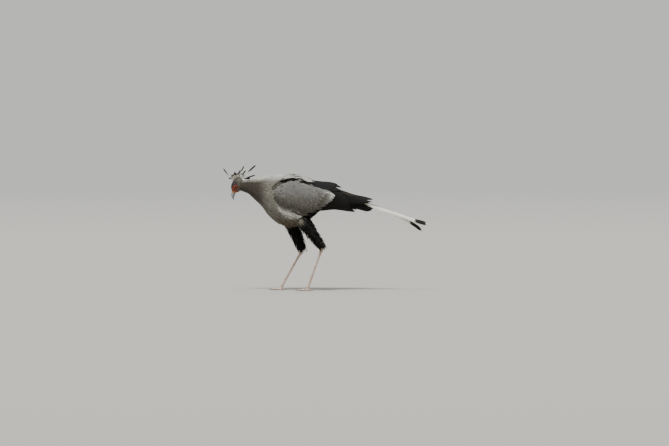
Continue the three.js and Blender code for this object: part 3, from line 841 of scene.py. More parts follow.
skin = makeSkin()
skinMesh = skin.data
setColours(skinMesh, "ground", skinTones(skinPoints(skinMesh)))
skinMesh.materials.append(skinFinish())
skinTree = BVHTree.FromObject(skin, bpy.context.evaluated_depsgraph_get())
skinLoops = np.zeros(len(skinMesh.loops) * 2, np.float32)
skinMesh.uv_layers["OFBake"].data.foreach_get("uv", skinLoops)
skinLoops = skinLoops.reshape(-1, 2)
skinMiddles = np.array([skinLoops[list(p.loop_indices)].mean(axis=0) for p in skinMesh.polygons])


def skinPatches(points):
    return skinMiddles[[skinTree.find_nearest(Vector(p + shift))[2] for p in points.reshape(-1, 3)]]


print("skin done", len(skinMesh.polygons))


# Contour feathers

contourLook = {
    "long": 0.030, "half": 0.22, "gap": 0.008, "low": -0.006, "high": -0.001, "lift": 0.0008,
    "loose": 0.0006, "fall": 0.0, "stray": 9.0, "fray": 0.18, "ragged": 0.12, "thick": 0.0005,
    "camber": 0.2, "rows": 7, "columns": 5, "outline": "soft",
}
neckLook = {
    **contourLook,
    "long": (0.013, 0.026, -0.58, -0.43), "gap": (0.0055, 0.0085, -0.58, -0.43),
    "low": (-0.003, -0.006, -0.58, -0.46), "high": (0.0, -0.0005, -0.58, -0.46), "half": 0.26,
}
breastLook = {
    **contourLook,
    "high": lambda at, angle: mix(0.001, 0.004, smooth(np.abs(angle), 100, 165)),
    "lift": 0.0015, "loose": 0.0012,
    "fall": lambda at, angle: -26 * np.sign(angle) * hump(np.abs(angle), parting(at, partingOnBody) - 4, 22),
}
mantleLook = {
    **contourLook,
    "long": 0.038, "high": 0.003,
    "fall": lambda at, angle: -30 * np.sign(angle) * smooth(np.abs(angle), 12, 40) * smooth(-at, 0.22, 0.30),
}
rumpLook = {**contourLook, "long": 0.050, "high": -0.002}
bellyLook = {
    **contourLook,
    "long": 0.042, "half": 0.2, "lift": 0.004, "loose": 0.004, "stray": 12.0, "fray": 0.35, "ragged": 0.2,
    "fall": lambda at, angle: 8 * np.sign(angle) * (1 - smooth(np.abs(angle), 120, 170)),
}
ventLook = {
    **contourLook,
    "long": 0.056, "half": 0.17, "lift": 0.006, "loose": 0.005, "stray": 14.0, "fray": 0.4, "ragged": 0.2,
    "rows": 9,
}

# The parting between the back's pale feathers and the wing, dark with black feathers and painted shade:
# along, and angle on each form
partingAlong = [-0.380, -0.360, -0.302, -0.240, -0.178, -0.126, -0.070]
partingOnBody = [76, 66, 46, 36, 30, 29, 29]
partingOnFold = [76, 68, 48, 39, 35, 38, 43]


def parting(at, angles):
    return np.interp(at, partingAlong, angles)


def bodyRoots(rows, around, low=-180, high=180):
    return spreadRoots(body, brickRows(*rows), around, *sorted((low, high)))


def bodyCoat(name, roots, look, finish=greyFeathers, slot="body_plumage"):
    coat(name, body, roots, look, bodyMarking, finish, slot)


def makeBodyCoat():  # rows: where they start and end along the body and how far apart they are
    for name, rows in (("upper", (-0.588, -0.520, 0.0046)), ("lower", (-0.515, -0.432, 0.0060))):
        around = mix(0.0042, 0.0066, smooth(brickRows(*rows), -0.58, -0.43))
        bodyCoat(f"{name}NeckCoat", bodyRoots(rows, around), neckLook)
    bodyCoat("breastCoat", bodyRoots((-0.426, -0.330, 0.0082), 0.0078), breastLook)
    mantle = bodyRoots((-0.322, -0.200, 0.0088), 0.0080, -66, 66)
    mantle = mantle[np.abs(mantle[:, 1]) < parting(mantle[:, 0], partingOnBody) - 5]
    bodyCoat("mantleCoat", mantle, mantleLook)
    bodyCoat("rumpCoat", bodyRoots((-0.210, 0.030, 0.018), 0.016, -100, 100), rumpLook)
    for name, side in bothSides:
        belly = bodyRoots((-0.322, -0.110, 0.0095), 0.0088, side * 96, side * 180)
        bodyCoat(f"bellyCoat_{name}", belly, bellyLook, downFeathers)
        vent = bodyRoots((-0.125, 0.034, 0.0115), 0.0110, side * 66, side * 180)
        bodyCoat(f"ventCoat_{name}", vent, ventLook, blackFeathers, "thigh_plumage")


makeBodyCoat()
print("body coat done")


# Thighs: long loose black feathers, like breeches, down to the ankle

thighLook = {
    **contourLook,
    "long": (0.060, 0.040), "half": 0.17, "gap": 0.011, "low": (-0.008, -0.003), "high": (0.001, 0.004),
    "lift": 0.006, "loose": 0.008, "stray": 11.0, "fray": 0.4, "rows": 9, "outline": "lock",
}


def thighMarking(at, angle, vary):  # the flank's pale feathers hang over the front of the top
    ground = thighTone * vary(0.3)[:, None]
    overhang = (1 - smooth(at, 0.08, 0.19)) * smooth(np.abs(angle), 66, 100)
    ground = mixTone(ground, tuckTone * vary(0.15)[:, None], overhang)
    return ground, ground * 1.5


for name, shell in thighs.items():
    roots = spreadRoots(shell, brickRows(0.06, 0.93, 0.036), 0.0100)
    coat(f"thighCoat_{name}", shell, roots, thighLook, thighMarking, blackFeathers, "thigh_plumage")
print("thighs done")


# Flight feathers and coverts: one tier for each kind, k runs from the one nearest the back to the lowest

quillTone = tone(14, 15, 15)
quillRim = tone(30, 27, 25)
usualVane = {
    "outline": "flight", "columns": 9, "lift": 0.0, "tilt": 0.0013, "camber": 0.001, "bow": 0.0,
    "fray": 0.06, "ragged": 0.02, "thick": 0.0009, "ground": quillTone, "rim": quillRim,
}


def tier(name, shell, side, look, finish, slot, nodes=()):
    # a setting is one number, a function of k, or a pair that k runs between
    look = {**usualVane, **look}
    count = look["count"]
    k = np.arange(count) / (count - 1)

    def either():
        return chance.uniform(-1, 1, count)

    def each(value):
        if callable(value):
            return value(k)
        return mix(*value, k) if isinstance(value, tuple) else value + 0 * k

    def tones(value, *places):
        return value(*places) if callable(value) else value + 0 * k[:, None]

    feathers = {key: each(look[key]) for key in vaneKeys}
    feathers["tipAt"] = feathers["tipAt"] + look["stray"] * either()
    feathers["tipAngle"] = feathers["tipAngle"] + 0.8 * either()
    top, low, steps = layVanes(shell, feathers, look, side)
    vary = 1 + 0.10 * either()
    ground = tones(look["ground"], k, steps)
    colours = {
        "ground": ground * vary.reshape(-1, *[1] * (ground.ndim - 1)), "rim": tones(look["rim"], k),
        "long": np.abs(feathers["tipAt"] - feathers["rootAt"]), "half": feathers["half"], "steps": steps,
    }
    return featherPiece(name, top, low, colours, finish, slot, nodes)


# brown patch on the upper edge of the primaries
brownPatchTone = tone(84, 70, 58)
covertTone = tone(106, 105, 102)
# lower coverts: their grey darkened with painted shade
covertShadeLowTone = tone(78, 75, 68)
covertRim = tone(206, 202, 194)
# painted shadow of the wing's lower edge
wingEdgeShadowTone = tone(50, 47, 41)
scapularTone = tone(158, 155, 148)
# black of the parting feathers, also standing in for the shade in the gap between back and wing
partingBlackAndShadeTone = tone(22, 22, 21)

# Where the pale coverts end over the black quills, and the wing's lower edge: angle against distance along
covertEndAngles = [50, 61, 66, 70, 76, 86, 98, 111, 118, 122, 125]
covertEndAlong = [-0.100, -0.075, -0.010, 0.045, 0.072, 0.064, 0.040, -0.004, -0.022, -0.070, -0.125]
lowEdgeAlong = [-0.350, -0.312, -0.219, -0.136, -0.050, 0.010]
lowEdgeAngles = [98, 105, 111, 122, 122, 116]


def lowEdge(at):
    return np.interp(at, lowEdgeAlong, lowEdgeAngles)


def covertEnd(angle):
    return np.interp(angle, covertEndAngles, covertEndAlong)


def greaterAngle(k):
    return mix(52, 124, k)


def covertTones(k):
    # the lower coverts darker with painted shade
    return mixTone(covertTone, covertShadeLowTone, smooth(k, 0.2, 0.8))


def covertGround(k, steps):  # paler towards the ends of the rear ones
    share = (smooth(steps, 0.5, 1.0)[None, :] * hump(k, 0.30, 0.22)[:, None])[..., None]
    return mixTone(covertTones(k)[:, None, None], covertRim, 0.5 * share)


def primaryTones(k, steps):  # a brown patch on the upper edge of the bare stretch
    patchShare = 0.8 * hump(steps[None, :] + 0.3 * k[:, None], 0.84, 0.09) * hump(k, 0.3, 0.22)[:, None]
    return mixTone(quillTone, brownPatchTone, patchShare[..., None])


primaryLook = {
    "count": 10, "rows": 30, "stray": 0.004, "rootAt": -0.060, "rootAngle": (52, 102),
    "tipAt": lambda k: 0.180 + 0.160 * np.sin(1.9 * k),
    "tipAngle": lambda k: mix(30, 9, smooth(k, 0, 0.7)) + 60 * k ** 7,
    "half": 0.016, "low": (-0.003, -0.0135), "high": (-0.001, -0.0115), "lift": (0.003, 0.011),
    "tilt": 0.0006, "bow": (2, 5), "ground": primaryTones,
}
secondaryLook = {
    "count": 14, "rows": 24, "stray": 0.005, "rootAt": -0.070, "rootAngle": (52, 116),
    "tipAt": lambda k: 0.104 + 0.046 * np.sin(math.pi * k) + 0.076 * k * k, "tipAngle": (43, 128),
    "half": 0.0165, "low": -0.0025, "high": 0.0025, "tilt": 0.0020, "bow": 2.0,
}
hangingLook = {  # the lowest quills, whose ends hang under the tail
    "count": 4, "rows": 20, "stray": 0.003,
    "rootAt": 0.000, "rootAngle": (100, 122), "tipAt": (0.188, 0.216), "tipAngle": (124, 166),
    "half": 0.0165, "low": -0.004, "high": -0.003, "lift": (0, 0.012), "tilt": 0.0008, "bow": -9.0,
}
tertialLook = {
    "count": 6, "rows": 26, "stray": 0.003, "rootAt": -0.130, "rootAngle": (17, 52),
    "tipAt": lambda k: 0.092 + 0.022 * np.sin(9 * k) + 0.012 * k, "tipAngle": (13, 44),
    "half": 0.0165, "low": -0.008, "high": 0.0050, "lift": (0.016, 0), "tilt": (-0.006, 0.002),
    "ragged": 0.04,
}
greaterLook = {
    "count": 22, "rows": 18, "outline": "contour", "stray": 0.006,
    "rootAt": lambda k: covertEnd(greaterAngle(k)) - 0.118,
    "rootAngle": lambda k: greaterAngle(k) - 3 - 30 * np.sin(math.pi * k) - 12 * k ** 4,
    "tipAt": lambda k: covertEnd(greaterAngle(k)), "tipAngle": greaterAngle,
    "half": 0.0115, "low": 0.0020, "high": 0.0070, "lift": 0.0015, "tilt": 0.0014, "fray": 0.12,
    "ragged": 0.03, "ground": covertGround,
    "rim": lambda k: mixTone(covertTones(k) * 1.2, covertRim, hump(k, 0.32, 0.26)),
}
medianLook = {
    **greaterLook,
    "count": 20, "rows": 14, "stray": 0.007,
    "rootAt": lambda k: covertEnd(greaterAngle(k)) - 0.146,
    "rootAngle": lambda k: mix(54, 102, k) - 4 - 22 * np.sin(math.pi * k),
    "tipAt": lambda k: covertEnd(greaterAngle(k)) - 0.058, "tipAngle": (54, 113),
    "low": 0.0050, "high": 0.0100, "fray": 0.14,
    "ground": lambda k, steps: covertTones(k), "rim": lambda k: mixTone(covertTones(k), covertRim, 0.2),
}
lesserLook = {
    **contourLook,
    "long": (0.024, 0.044, -0.34, -0.12), "gap": 0.0095, "low": 0.0015, "high": (0.006, 0.0115, -0.34, -0.20),
    "fall": lambda at, angle: 16 * np.sign(angle) * smooth(np.abs(angle), 52, 88), "stray": 7.0,
    "camber": 0.10, "lift": 0.0004, "loose": 0.0008, "fray": 0.16, "ragged": 0.05, "outline": "round",
    "rows": 9,
}
scapularLook = {
    "count": 9, "rows": 16, "outline": "contour", "stray": 0.012,
    "rootAt": lambda k: -0.300 + 0.030 * np.sin(23 * k), "rootAngle": (5, 40),
    "tipAt": lambda k: -0.172 + 0.020 * np.sin(23 * k), "tipAngle": (5, 31),
    "half": 0.0135, "low": -0.008, "high": 0.009, "lift": 0.005, "tilt": 0.0014, "fray": 0.2, "ragged": 0.06,
    "ground": scapularTone, "rim": paleRim,
}
longScapularLook = {
    **scapularLook,
    "rows": 20, "rootAt": -0.235, "rootAngle": (8, 33),
    "tipAt": lambda k: -0.092 + 0.024 * k + 0.014 * np.sin(19 * k), "tipAngle": (9, 33),
    "half": 0.0155, "low": -0.006, "high": 0.0105, "lift": 0.003, "tilt": 0.0012,
}
partingLook = {  # the black feathers in the parting between back and wing, which also stand in for the shade in the gap
    **contourLook,
    "count": 120, "start": -0.366, "end": -0.088,
    "long": (0.020, 0.040, -0.35, -0.27), "half": 0.085, "gap": 0.003,
    "low": 0.004, "high": 0.0125, "lift": 0.0, "loose": 0.0005, "stray": 3.0, "ragged": 0.2,
}


def lesserMarking(at, angle, vary):
    side = np.abs(angle)
    # the lower lesser coverts darker with painted shade
    ground = covertTones(smooth(side, 55, 110)) * mix(1.14, 1, smooth(at, -0.33, -0.25))[:, None]
    # painted shadow along the wing's lower edge
    ground = mixTone(ground, wingEdgeShadowTone, 0.75 * smooth(side - lowEdge(at), -24, -10)) * vary(0.10)[:, None]
    return ground, mixTone(ground, covertRim, 0.14)


def partingMarking(at, angle, vary):
    # grey in front, then black that is partly painted shade in the gap
    ground = mixTone(covertShadeLowTone, partingBlackAndShadeTone, smooth(at, -0.37, -0.29)) * vary(0.2)[:, None]
    return ground, ground * 1.3


def lesserRoots(side):  # between the parting, the bend of the wing, its lower edge and the greater coverts
    roots = spreadRoots(fold, brickRows(-0.350, -0.085, 0.0098), 0.0095, *sorted((side * 34, side * 118)))
    at, angle = roots[:, 0], np.abs(roots[:, 1])
    front = -0.352 + 0.026 * (2 * np.clip((angle - 54) / (121 - 54), 0, 1) - 0.9) ** 2
    below = lowEdge(at) - mix(8, 13, smooth(at, -0.30, -0.20))
    between = (angle > parting(at, partingOnFold) + 6) & (angle < below)
    return roots[(at > front) & (at < covertEnd(angle) - 0.100) & between]


def makeParting(name, side):
    count = partingLook["count"]
    ats = np.linspace(partingLook["start"], partingLook["end"], count)
    line = parting(ats, partingOnFold)
    roots = np.stack([ats, side * (line + chance.uniform(-1.3, 1.3, count))], -1)
    fall = side * np.degrees(np.arctan(np.radians(np.gradient(line, ats)) * fold.radius(ats)))
    look = {**partingLook, "fall": fall}
    coat(f"parting_{name}", fold, roots, look, partingMarking, blackFeathers, "wing_plumage")


def makeLesserCoverts(name, side):
    roots = lesserRoots(side)
    coat(f"lesserCoverts_{name}", fold, roots, lesserLook, lesserMarking, greyFeathers, "wing_plumage")


wingTiers = {
    "primaries": primaryLook, "secondaries": secondaryLook, "hangingQuills": hangingLook,
    "tertials": tertialLook, "greaterCoverts": greaterLook, "medianCoverts": medianLook,
}
scapularTiers = {"scapulars": scapularLook, "longScapulars": longScapularLook}

for name, side in bothSides:
    for kind, look in wingTiers.items():
        finish = greyFeathers if kind.endswith("Coverts") else blackFeathers
        nodes = [f"wing_{name}"] if kind == "primaries" else []
        tier(f"{kind}_{name}", fold, side, look, finish, "wing_plumage", nodes)
    makeLesserCoverts(name, side)
    makeParting(name, side)
    for kind, look in scapularTiers.items():
        tier(f"{kind}_{name}", fold, side, look, greyFeathers, "body_plumage")
print("wings done")


# Tail: a fan of black feathers with white ends, coverts, and the two long feathers in the middle

tailWhite = tone(238, 236, 224)
tailGrey = tone(206, 202, 188)
tailRootTone = tone(70, 68, 64)
tailBlack = tone(14, 14, 15)


def fanTones(k, steps):
    white = 0.6 * smooth(steps, 0.985, 1.0)[None, :, None] + 0 * k[:, None, None]
    return mixTone(tailBlack, tailWhite, white)


rectrixLook = {
    "count": 7, "rows": 36, "stray": 0.007,
    "rootAt": 0.080, "rootAngle": (20, 118), "tipAt": (0.374, 0.298), "tipAngle": (14, 158),
    "half": 0.021, "low": (-0.006, -0.009), "high": (0.001, -0.002), "tilt": 0.0005,
    "ground": fanTones, "rim": quillRim * 0.8,
}
upperTailLook = {
    "count": 4, "rows": 12, "outline": "contour", "stray": 0.008,
    "rootAt": 0.030, "rootAngle": (12, 66), "tipAt": (0.150, 0.130), "tipAngle": (12, 70),
    "half": 0.017, "low": -0.006, "high": 0.0035, "fray": 0.14,
}
underTailLook = {
    **upperTailLook,
    "count": 5, "rootAngle": (90, 168), "tipAt": (0.235, 0.215), "tipAngle": (100, 172),
    "half": 0.019, "high": 0.004, "fray": 0.25, "rows": 16,
}
tailTiers = {"tailFan": rectrixLook, "upperTailCoverts": upperTailLook, "underTailCoverts": underTailLook}
centralLook = {
    "rows": 90, "columns": 11, "start": 0.060, "half": 0.0122, "swell": 1.32, "thick": 0.0009, "cup": 0.0024,
    "left": {"end": 0.712, "droop": -0.011, "bandStart": 0.622, "bandEnd": 0.699},
    "right": {"end": 0.676, "droop": 0.050, "bandStart": 0.590, "bandEnd": 0.666},
}


def centralFeather(name, side):
    rows, columns, start = centralLook["rows"], centralLook["columns"], centralLook["start"]
    end, droop, bandStart, bandEnd = centralLook[name].values()
    v, u = np.linspace(0, 1, rows)[:, None], np.linspace(-1, 1, columns)[None, :]
    width = centralLook["half"] * mix(0.8, 1, smooth(v, 0.2, 0.6))
    width = width * mix(1, centralLook["swell"], smooth(v, 0.80, 0.93)) * root(1 - smooth(v, 0.955, 1.003))
    fray = 1 - 0.07 * chance.random((rows, columns)) * np.abs(u)
    at = mix(start, end, v) + 0 * u
    rise = mix(-0.006, 0.002, smooth(v, 0, 0.2)) - 0.012 * smooth(v, 0.5, 0.9)
    thick = centralLook["thick"] * ((1.2 - u ** 2) * (1 - 0.5 * v) + (np.abs(u) < 1e-6))
    lean = np.radians(mix(24, 62, smooth(v, 0.1, 0.5)))
    middle = tailForm.point(at, np.degrees(lean) * side + 0 * u, rise)
    middle[..., 2] -= droop * v ** 6
    across = np.stack([0 * lean, -side * np.cos(lean), -np.sin(lean)], -1)
    above = np.stack([0 * lean, -side * np.sin(lean), np.cos(lean)], -1)
    middle = middle + (u * width * fray)[..., None] * across - (centralLook["cup"] * u * u)[..., None] * above
    half = (thick / 2)[..., None] * above
    band = smooth(at, bandStart - 0.006, bandStart + 0.006)
    band = band * (1 - smooth(at, bandEnd - 0.003, bandEnd + 0.003))
    colour = layTones(
        tailRootTone,
        (tailGrey, smooth(at, 0.20, 0.30)),
        (tailWhite, smooth(at, 0.27, 0.45)),
        (tailBlack, band),
    )
    feathers = {
        "ground": colour[None], "rim": colour.mean(axis=(0, 1))[None] * 0.9, "steps": v[:, 0],
        "long": np.array([end - start]), "half": np.array([0.0150]),
    }
    nodes = ["tail"] if name == "left" else []
    featherPiece(f"centralFeather_{name}", (middle + half)[None], (middle - half)[None], feathers,
                 paleFeathers, "tail_plumage", nodes)


paleFeathers = plumageFinish("paleFeathers", {**softPlumage, "tip": 0.0, "fringe": 0.0, "shaft": 0.3})
for name, side in bothSides:
    for kind, look in tailTiers.items():
        tier(f"{kind}_{name}", tailForm, side, look, blackFeathers, "tail_plumage")
    centralFeather(name, side)
print("tail done")


# Crest: pairs of plumes with pale stems and black spatulate ends, and short pale ones at their feet

crestLook = {
    "pairs": [  # lean from upright towards the tail, length, width, share along where the black starts
        (-66, 0.050, 0.8, 0.48), (-47, 0.128, 0.9, 0.48), (-42, 0.046, 1.0, 0.48), (-12, 0.056, 0.7, 0.48),
        (20, 0.068, 0.7, 0.48), (27, 0.106, 1.1, 0.50), (46, 0.080, 0.8, 0.48), (53, 0.156, 0.9, 0.60),
        (80, 0.120, 0.9, 0.48), (86, 0.086, 0.9, 0.48),
    ],
    "splay": 16, "half": 0.0066, "rows": 26, "columns": 9, "shortOnes": 230, "cup": 0.12,
    "thick": 0.0005, "shaft": 0.0006, "bends": (0.30, -0.06), "behind": -0.020, "apart": 0.008,
}
crestBlack = tone(15, 14, 14)
crestPale = tone(222, 219, 208)


def plumes(name, starts, leans, splays, longs, halves, darkFrom):
    count, rows, columns = len(leans), crestLook["rows"], crestLook["columns"]
    v = np.linspace(0, 1, rows)[None, :, None, None]
    u = np.linspace(-1, 1, columns)[None, None, :, None]
    tilt, splay = np.radians(leans), np.radians(splays)
    ahead = np.stack([np.sin(tilt) * np.cos(splay), -np.sin(splay), np.cos(tilt) * np.cos(splay)], -1)
    curl = np.stack([np.cos(tilt), 0 * tilt, -np.sin(tilt)], -1)
    aside = unit(np.cross(ahead, curl))
    roll = np.radians(58 * np.sign(splays) + 26 * chance.uniform(-1, 1, count))[:, None]
    flat = aside * np.cos(roll) + np.cross(ahead, aside) * np.sin(roll)
    normal = np.cross(ahead, flat)
    width = outline("spoon", v) * (1 - 0.10 * chance.random((count, rows, 1, 1)))
    bend = (v * v - v) * mix(*crestLook["bends"], smooth(leans, -60, 60))[:, None, None, None]
    ahead, curl, flat, normal = (d[:, None, None] for d in (ahead, curl, flat, normal))
    long, half = longs[:, None, None, None], halves[:, None, None, None] * width
    middle = starts[:, None, None] + ahead * long * v + curl * long * bend + flat * u * half
    middle = middle - normal * crestLook["cup"] * half * u * u
    thick = crestLook["thick"] * (1.3 - u * u) * (1 - 0.5 * v) + crestLook["shaft"] * (np.abs(u) < 1e-6)
    thick = normal * thick
    black = smooth(v[..., 0] + 0 * u[..., 0], darkFrom - 0.12, darkFrom + 0.08)
    colours = {
        "ground": np.broadcast_to(mixTone(crestPale, crestBlack, black), (count, rows, columns, 3)),
        "rim": np.full((count, 3), crestBlack * 1.3), "long": longs, "half": halves, "steps": v[0, :, 0, 0],
    }
    featherPiece(name, middle + thick, middle - thick, colours, crestFeathers, "body_plumage")


def crestRoots(order, side, first=74, reach=0.026):
    turn = np.radians(mix(first, 10, order))
    forward = crestLook["behind"] - reach * np.cos(turn)
    return headPoint(forward, side * crestLook["apart"], reach * np.sin(turn))


def makeCrest():
    lean, long, wide, black = np.tile(np.array(crestLook["pairs"]), (2, 1)).T
    count = len(lean)
    side = np.repeat([1, -1], count // 2)
    starts = crestRoots(np.tile(np.linspace(0, 1, count // 2), 2), side)
    leans = lean + 3 * chance.uniform(-1, 1, count)
    splays = side * (crestLook["splay"] + 8 * chance.uniform(-1, 1, count))
    longs = long * (1 + 0.05 * chance.uniform(-1, 1, count))
    plumes("crest", starts, leans, splays, longs, wide * crestLook["half"], black[:, None, None])


def makeCrestFoot():
    count = crestLook["shortOnes"]
    order = chance.random(count) ** 1.3
    side = chance.uniform(-1, 1, count)
    leans = mix(-44, 98, order) + 12 * chance.uniform(-1, 1, count)
    dark = chance.random(count) < 0.12 + 0.4 * hump(leans, 10, 34)
    longs = mix(0.028, 0.038, chance.random(count)) * mix(0.95, 1.2, order) * np.where(dark, 1.22, 1)
    halves = mix(0.09, 0.13, chance.random(count)) * longs
    darkFrom = np.where(dark, 0.84, 1.3)[:, None, None]
    plumes("crestFoot", crestRoots(order, 1.7 * side, 92, 0.030), leans, 32 * side, longs, halves, darkFrom)


crestFeathers = plumageFinish("crestFeathers", {**softPlumage, "tip": 0.1, "fringe": 0.2, "shaft": 0.2})
makeCrest()
makeCrestFoot()
print("crest done")


# Head: small feathers everywhere but on the bare face

faceLook = {
    "ahead": 0.027, "behind": 0.0270, "above": 0.0265, "below": 0.0165,  # reach from the middle of the eye
    "rings": 46, "sides": 120, "lidWide": 0.0080, "lidHigh": 0.0066, "lidThick": 0.0009, "depth": 0.0012,
    "over": 0.0006, "browHeight": 0.0118, "browRise": 0.0030, "foldGap": 0.0016, "foldDepth": 0.00016,
    "gapeDepth": 0.0013, "lipRise": 0.0006, "tuck": 0.0034,
}
headLook = {
    **contourLook,
    "long": (0.0050, 0.0105, 0.03, -0.03),
    "half": 0.19, "gap": 0.0024, "low": -0.0012, "high": 0.0006,
    "stray": 14.0, "thick": 0.0003, "rows": 5, "columns": 3, "fray": 0.3, "ragged": 0.2,
}


def faceReach(turn):
    forward = np.where(np.cos(turn) > 0, faceLook["ahead"], faceLook["behind"])
    return oval(turn, forward, np.where(np.sin(turn) > 0, faceLook["above"], faceLook["below"]))


def faceShare(points):  # below 1 inside the bare face
    forward, left, up = headPlace(points)
    forward, up = forward - eyePlace["forward"], up - eyePlace["up"]
    return np.hypot(forward, up) / faceReach(np.arctan2(up, forward))


def makeHeadCoat():
    roots = spreadRoots(head, brickRows(-0.0510, 0.0495, 0.0019), 0.0021)
    places = head.point(*roots.T)
    forward, left, up = headPlace(places)
    overBill = (forward > 0.0455) & (np.abs(up - 0.005) < 0.012)
    tips = head.point(roots[:, 0] - 0.0045, roots[:, 1])
    roots = roots[(faceShare(places) > 0.93) & (faceShare(tips) > 0.90) & ~overBill]
    coat("headCoat", head, roots, headLook, headMarking, greyFeathers, "body_plumage", ["head"], -1)


makeHeadCoat()


browTone = tone(74, 29, 30)
# the bare face's red, orange and yellow, darkened with painted shade
faceRedShaded = tone(100, 12, 13)
faceOrangeShaded = tone(126, 38, 19)
gapeToneShaded = tone(152, 82, 38)
cheekOrangeShaded = tone(150, 84, 40)


def headWidth(forward, up):  # half width of the head at a place seen from the side
    above, below, wide = head.sizes(forward)
    width = wide * root(1 - (up / np.where(up > 0, above, below)) ** 2, 0.02)
    bill = 0.0112 * root(1 - ((up - 0.006) / 0.0160) ** 2, 0.02)
    return np.where(forward > 0.042, np.maximum(width, bill), width)


def makeFace(name, side):
    s, turn = ring(faceLook["rings"], faceLook["sides"])
    lid = oval(turn, faceLook["lidWide"], faceLook["lidHigh"]) * (1 - 0.10 * smooth(np.sin(turn), 0.5, 1))
    far = mix(lid, faceReach(turn), s ** 1.25)
    beyond = far - lid
    forward = eyePlace["forward"] + far * np.cos(turn)
    up = eyePlace["up"] + far * np.sin(turn)
    ball = eyePlace["left"] + root(eyePlace["radius"] ** 2 - np.minimum(far, 0.0098) ** 2)
    lidTop = ball + faceLook["lidThick"] * root(beyond / 0.0007, 0.02)
    browLine = eyePlace["up"] + faceLook["browHeight"] + 0.04 * (forward - eyePlace["forward"])
    brow = hump(up, browLine, 0.0034) * smooth(forward, 0.006, 0.014) * (1 - smooth(forward, 0.034, 0.046))
    flesh = headWidth(forward, up) + faceLook["over"] + faceLook["browRise"] * brow
    left = mix(lidTop, flesh, smooth(beyond, 0.0006, 0.0048))
    left = left - 0.0006 * hump(beyond, 0.0026, 0.0006) - 0.0003 * hump(beyond, 0.0050, 0.0006)
    wander = 2.2 * np.sin(3 * turn) + 1.3 * np.sin(5 * turn + 1)
    folds = np.sin(beyond / faceLook["foldGap"] * math.tau + wander)
    left = left + faceLook["foldDepth"] * folds * smooth(beyond, 0.0015, 0.005)
    gape = mix(-0.0080, 0.0030, smooth(forward, 0.022, 0.052))
    lips = hump(up, gape + 0.0014, 0.0008) + hump(up, gape - 0.0014, 0.0008)
    mouth = faceLook["lipRise"] * lips - faceLook["gapeDepth"] * hump(up, gape, 0.0006)
    left = left + mouth * smooth(forward, 0.020, 0.026) - faceLook["tuck"] * smooth(s, 0.86, 1.0)
    outer = headPoint(forward, side * left, up)
    inner = headPoint(forward, side * (left - faceLook["depth"]), up)
    colour = layTones(
        browTone,
        # face colours darkened with painted shade
        (faceRedShaded, smooth(forward, -0.004, 0.016)),
        (faceOrangeShaded, smooth(forward, 0.028, 0.042)),
        (gapeToneShaded, smooth(forward, 0.040, 0.050)),
        (cheekOrangeShaded, smooth(-up, 0.006, 0.013) * 0.7),
        (lidRimAndShadeTone, 1 - smooth(beyond, 0.0003, 0.0015)),
        # painted shade in the crease round the eye
        (lidRimAndShadeTone, 0.55 * hump(beyond, 0.0027, 0.0005)),
    )
    form = solidForm(np.concatenate([outer, inner[::-1]]), True)
    solidPiece(f"face_{name}", [form], faceFinish, "face_skin", (), np.concatenate([colour, colour[::-1]]))


def makeFaceFinish():
    finish = Finish("bareFace")
    cells = finish.cells(900)
    grain = finish.noise(300, 5)
    veins = finish.smooth(finish.noise(120, 3), 0.45, 0.7)
    colour = finish.blend(veins * 0.4, finish.attribute("ground"), tone(110, 18, 14))
    colour = finish.blend(cells * 0.16, colour, tone(224, 140, 78))
    return finish.surface(
        Base_Color=colour, Roughness=0.42 + grain * 0.25, Specular_IOR_Level=0.45,
        Subsurface_Weight=0.15, Subsurface_Radius=(0.003, 0.001, 0.0006),
        Normal=finish.bump(cells * 0.7 + grain, 0.0005),
    )


faceFinish = makeFaceFinish()
for name, side in bothSides:
    makeFace(name, side)


# Lashes: thin round tapered strands along a curve

def hornFinish(name, look):
    finish = Finish(name)
    grain = finish.noise(look["grain"], 5)
    streaks = finish.smooth(finish.noise(look["grain"] / 6, 4), 0.35, 0.7)
    colour = finish.blend(streaks, look["tone"], look["other"])
    colour = finish.blend(grain * look["speckle"], colour, look["dark"])
    return finish.surface(
        Base_Color=colour, Roughness=look["roughness"] + grain * 0.2, Specular_IOR_Level=0.5,
        Normal=finish.bump(grain, look["depth"]), Coat_Weight=look["coat"], Coat_Roughness=0.25,
    )


lashFinish = hornFinish("lashes", {
    "tone": tone(22, 20, 19), "other": tone(34, 29, 26), "dark": tone(10, 9, 9),
    "grain": 900, "speckle": 0.2, "roughness": 0.5, "depth": 0.0001, "coat": 0.0,
})
clawFinish = hornFinish("claws", {
    "tone": tone(46, 42, 39), "other": tone(66, 59, 53), "dark": tone(24, 22, 20),
    "grain": 500, "speckle": 0.4, "roughness": 0.35, "depth": 0.0002, "coat": 0.2,
})
lashLook = {
    "count": 15, "long": 0.0095, "thick": 0.00042, "start": 18, "end": 158,
    "reach": 0.0072, "out": 0.0082, "sweep": 0.0034,
}


def strand(path, radii, sides=5):
    ahead = unit(np.gradient(path, axis=0))
    aside = unit(np.cross(ahead, [0.3, 0.2, 0.93]))
    above = np.cross(ahead, aside)
    turn = ring(1, sides)[1][..., None]
    around = np.cos(turn) * aside[:, None] + np.sin(turn) * above[:, None]
    return solidForm(path[:, None] + around * radii[:, None, None])


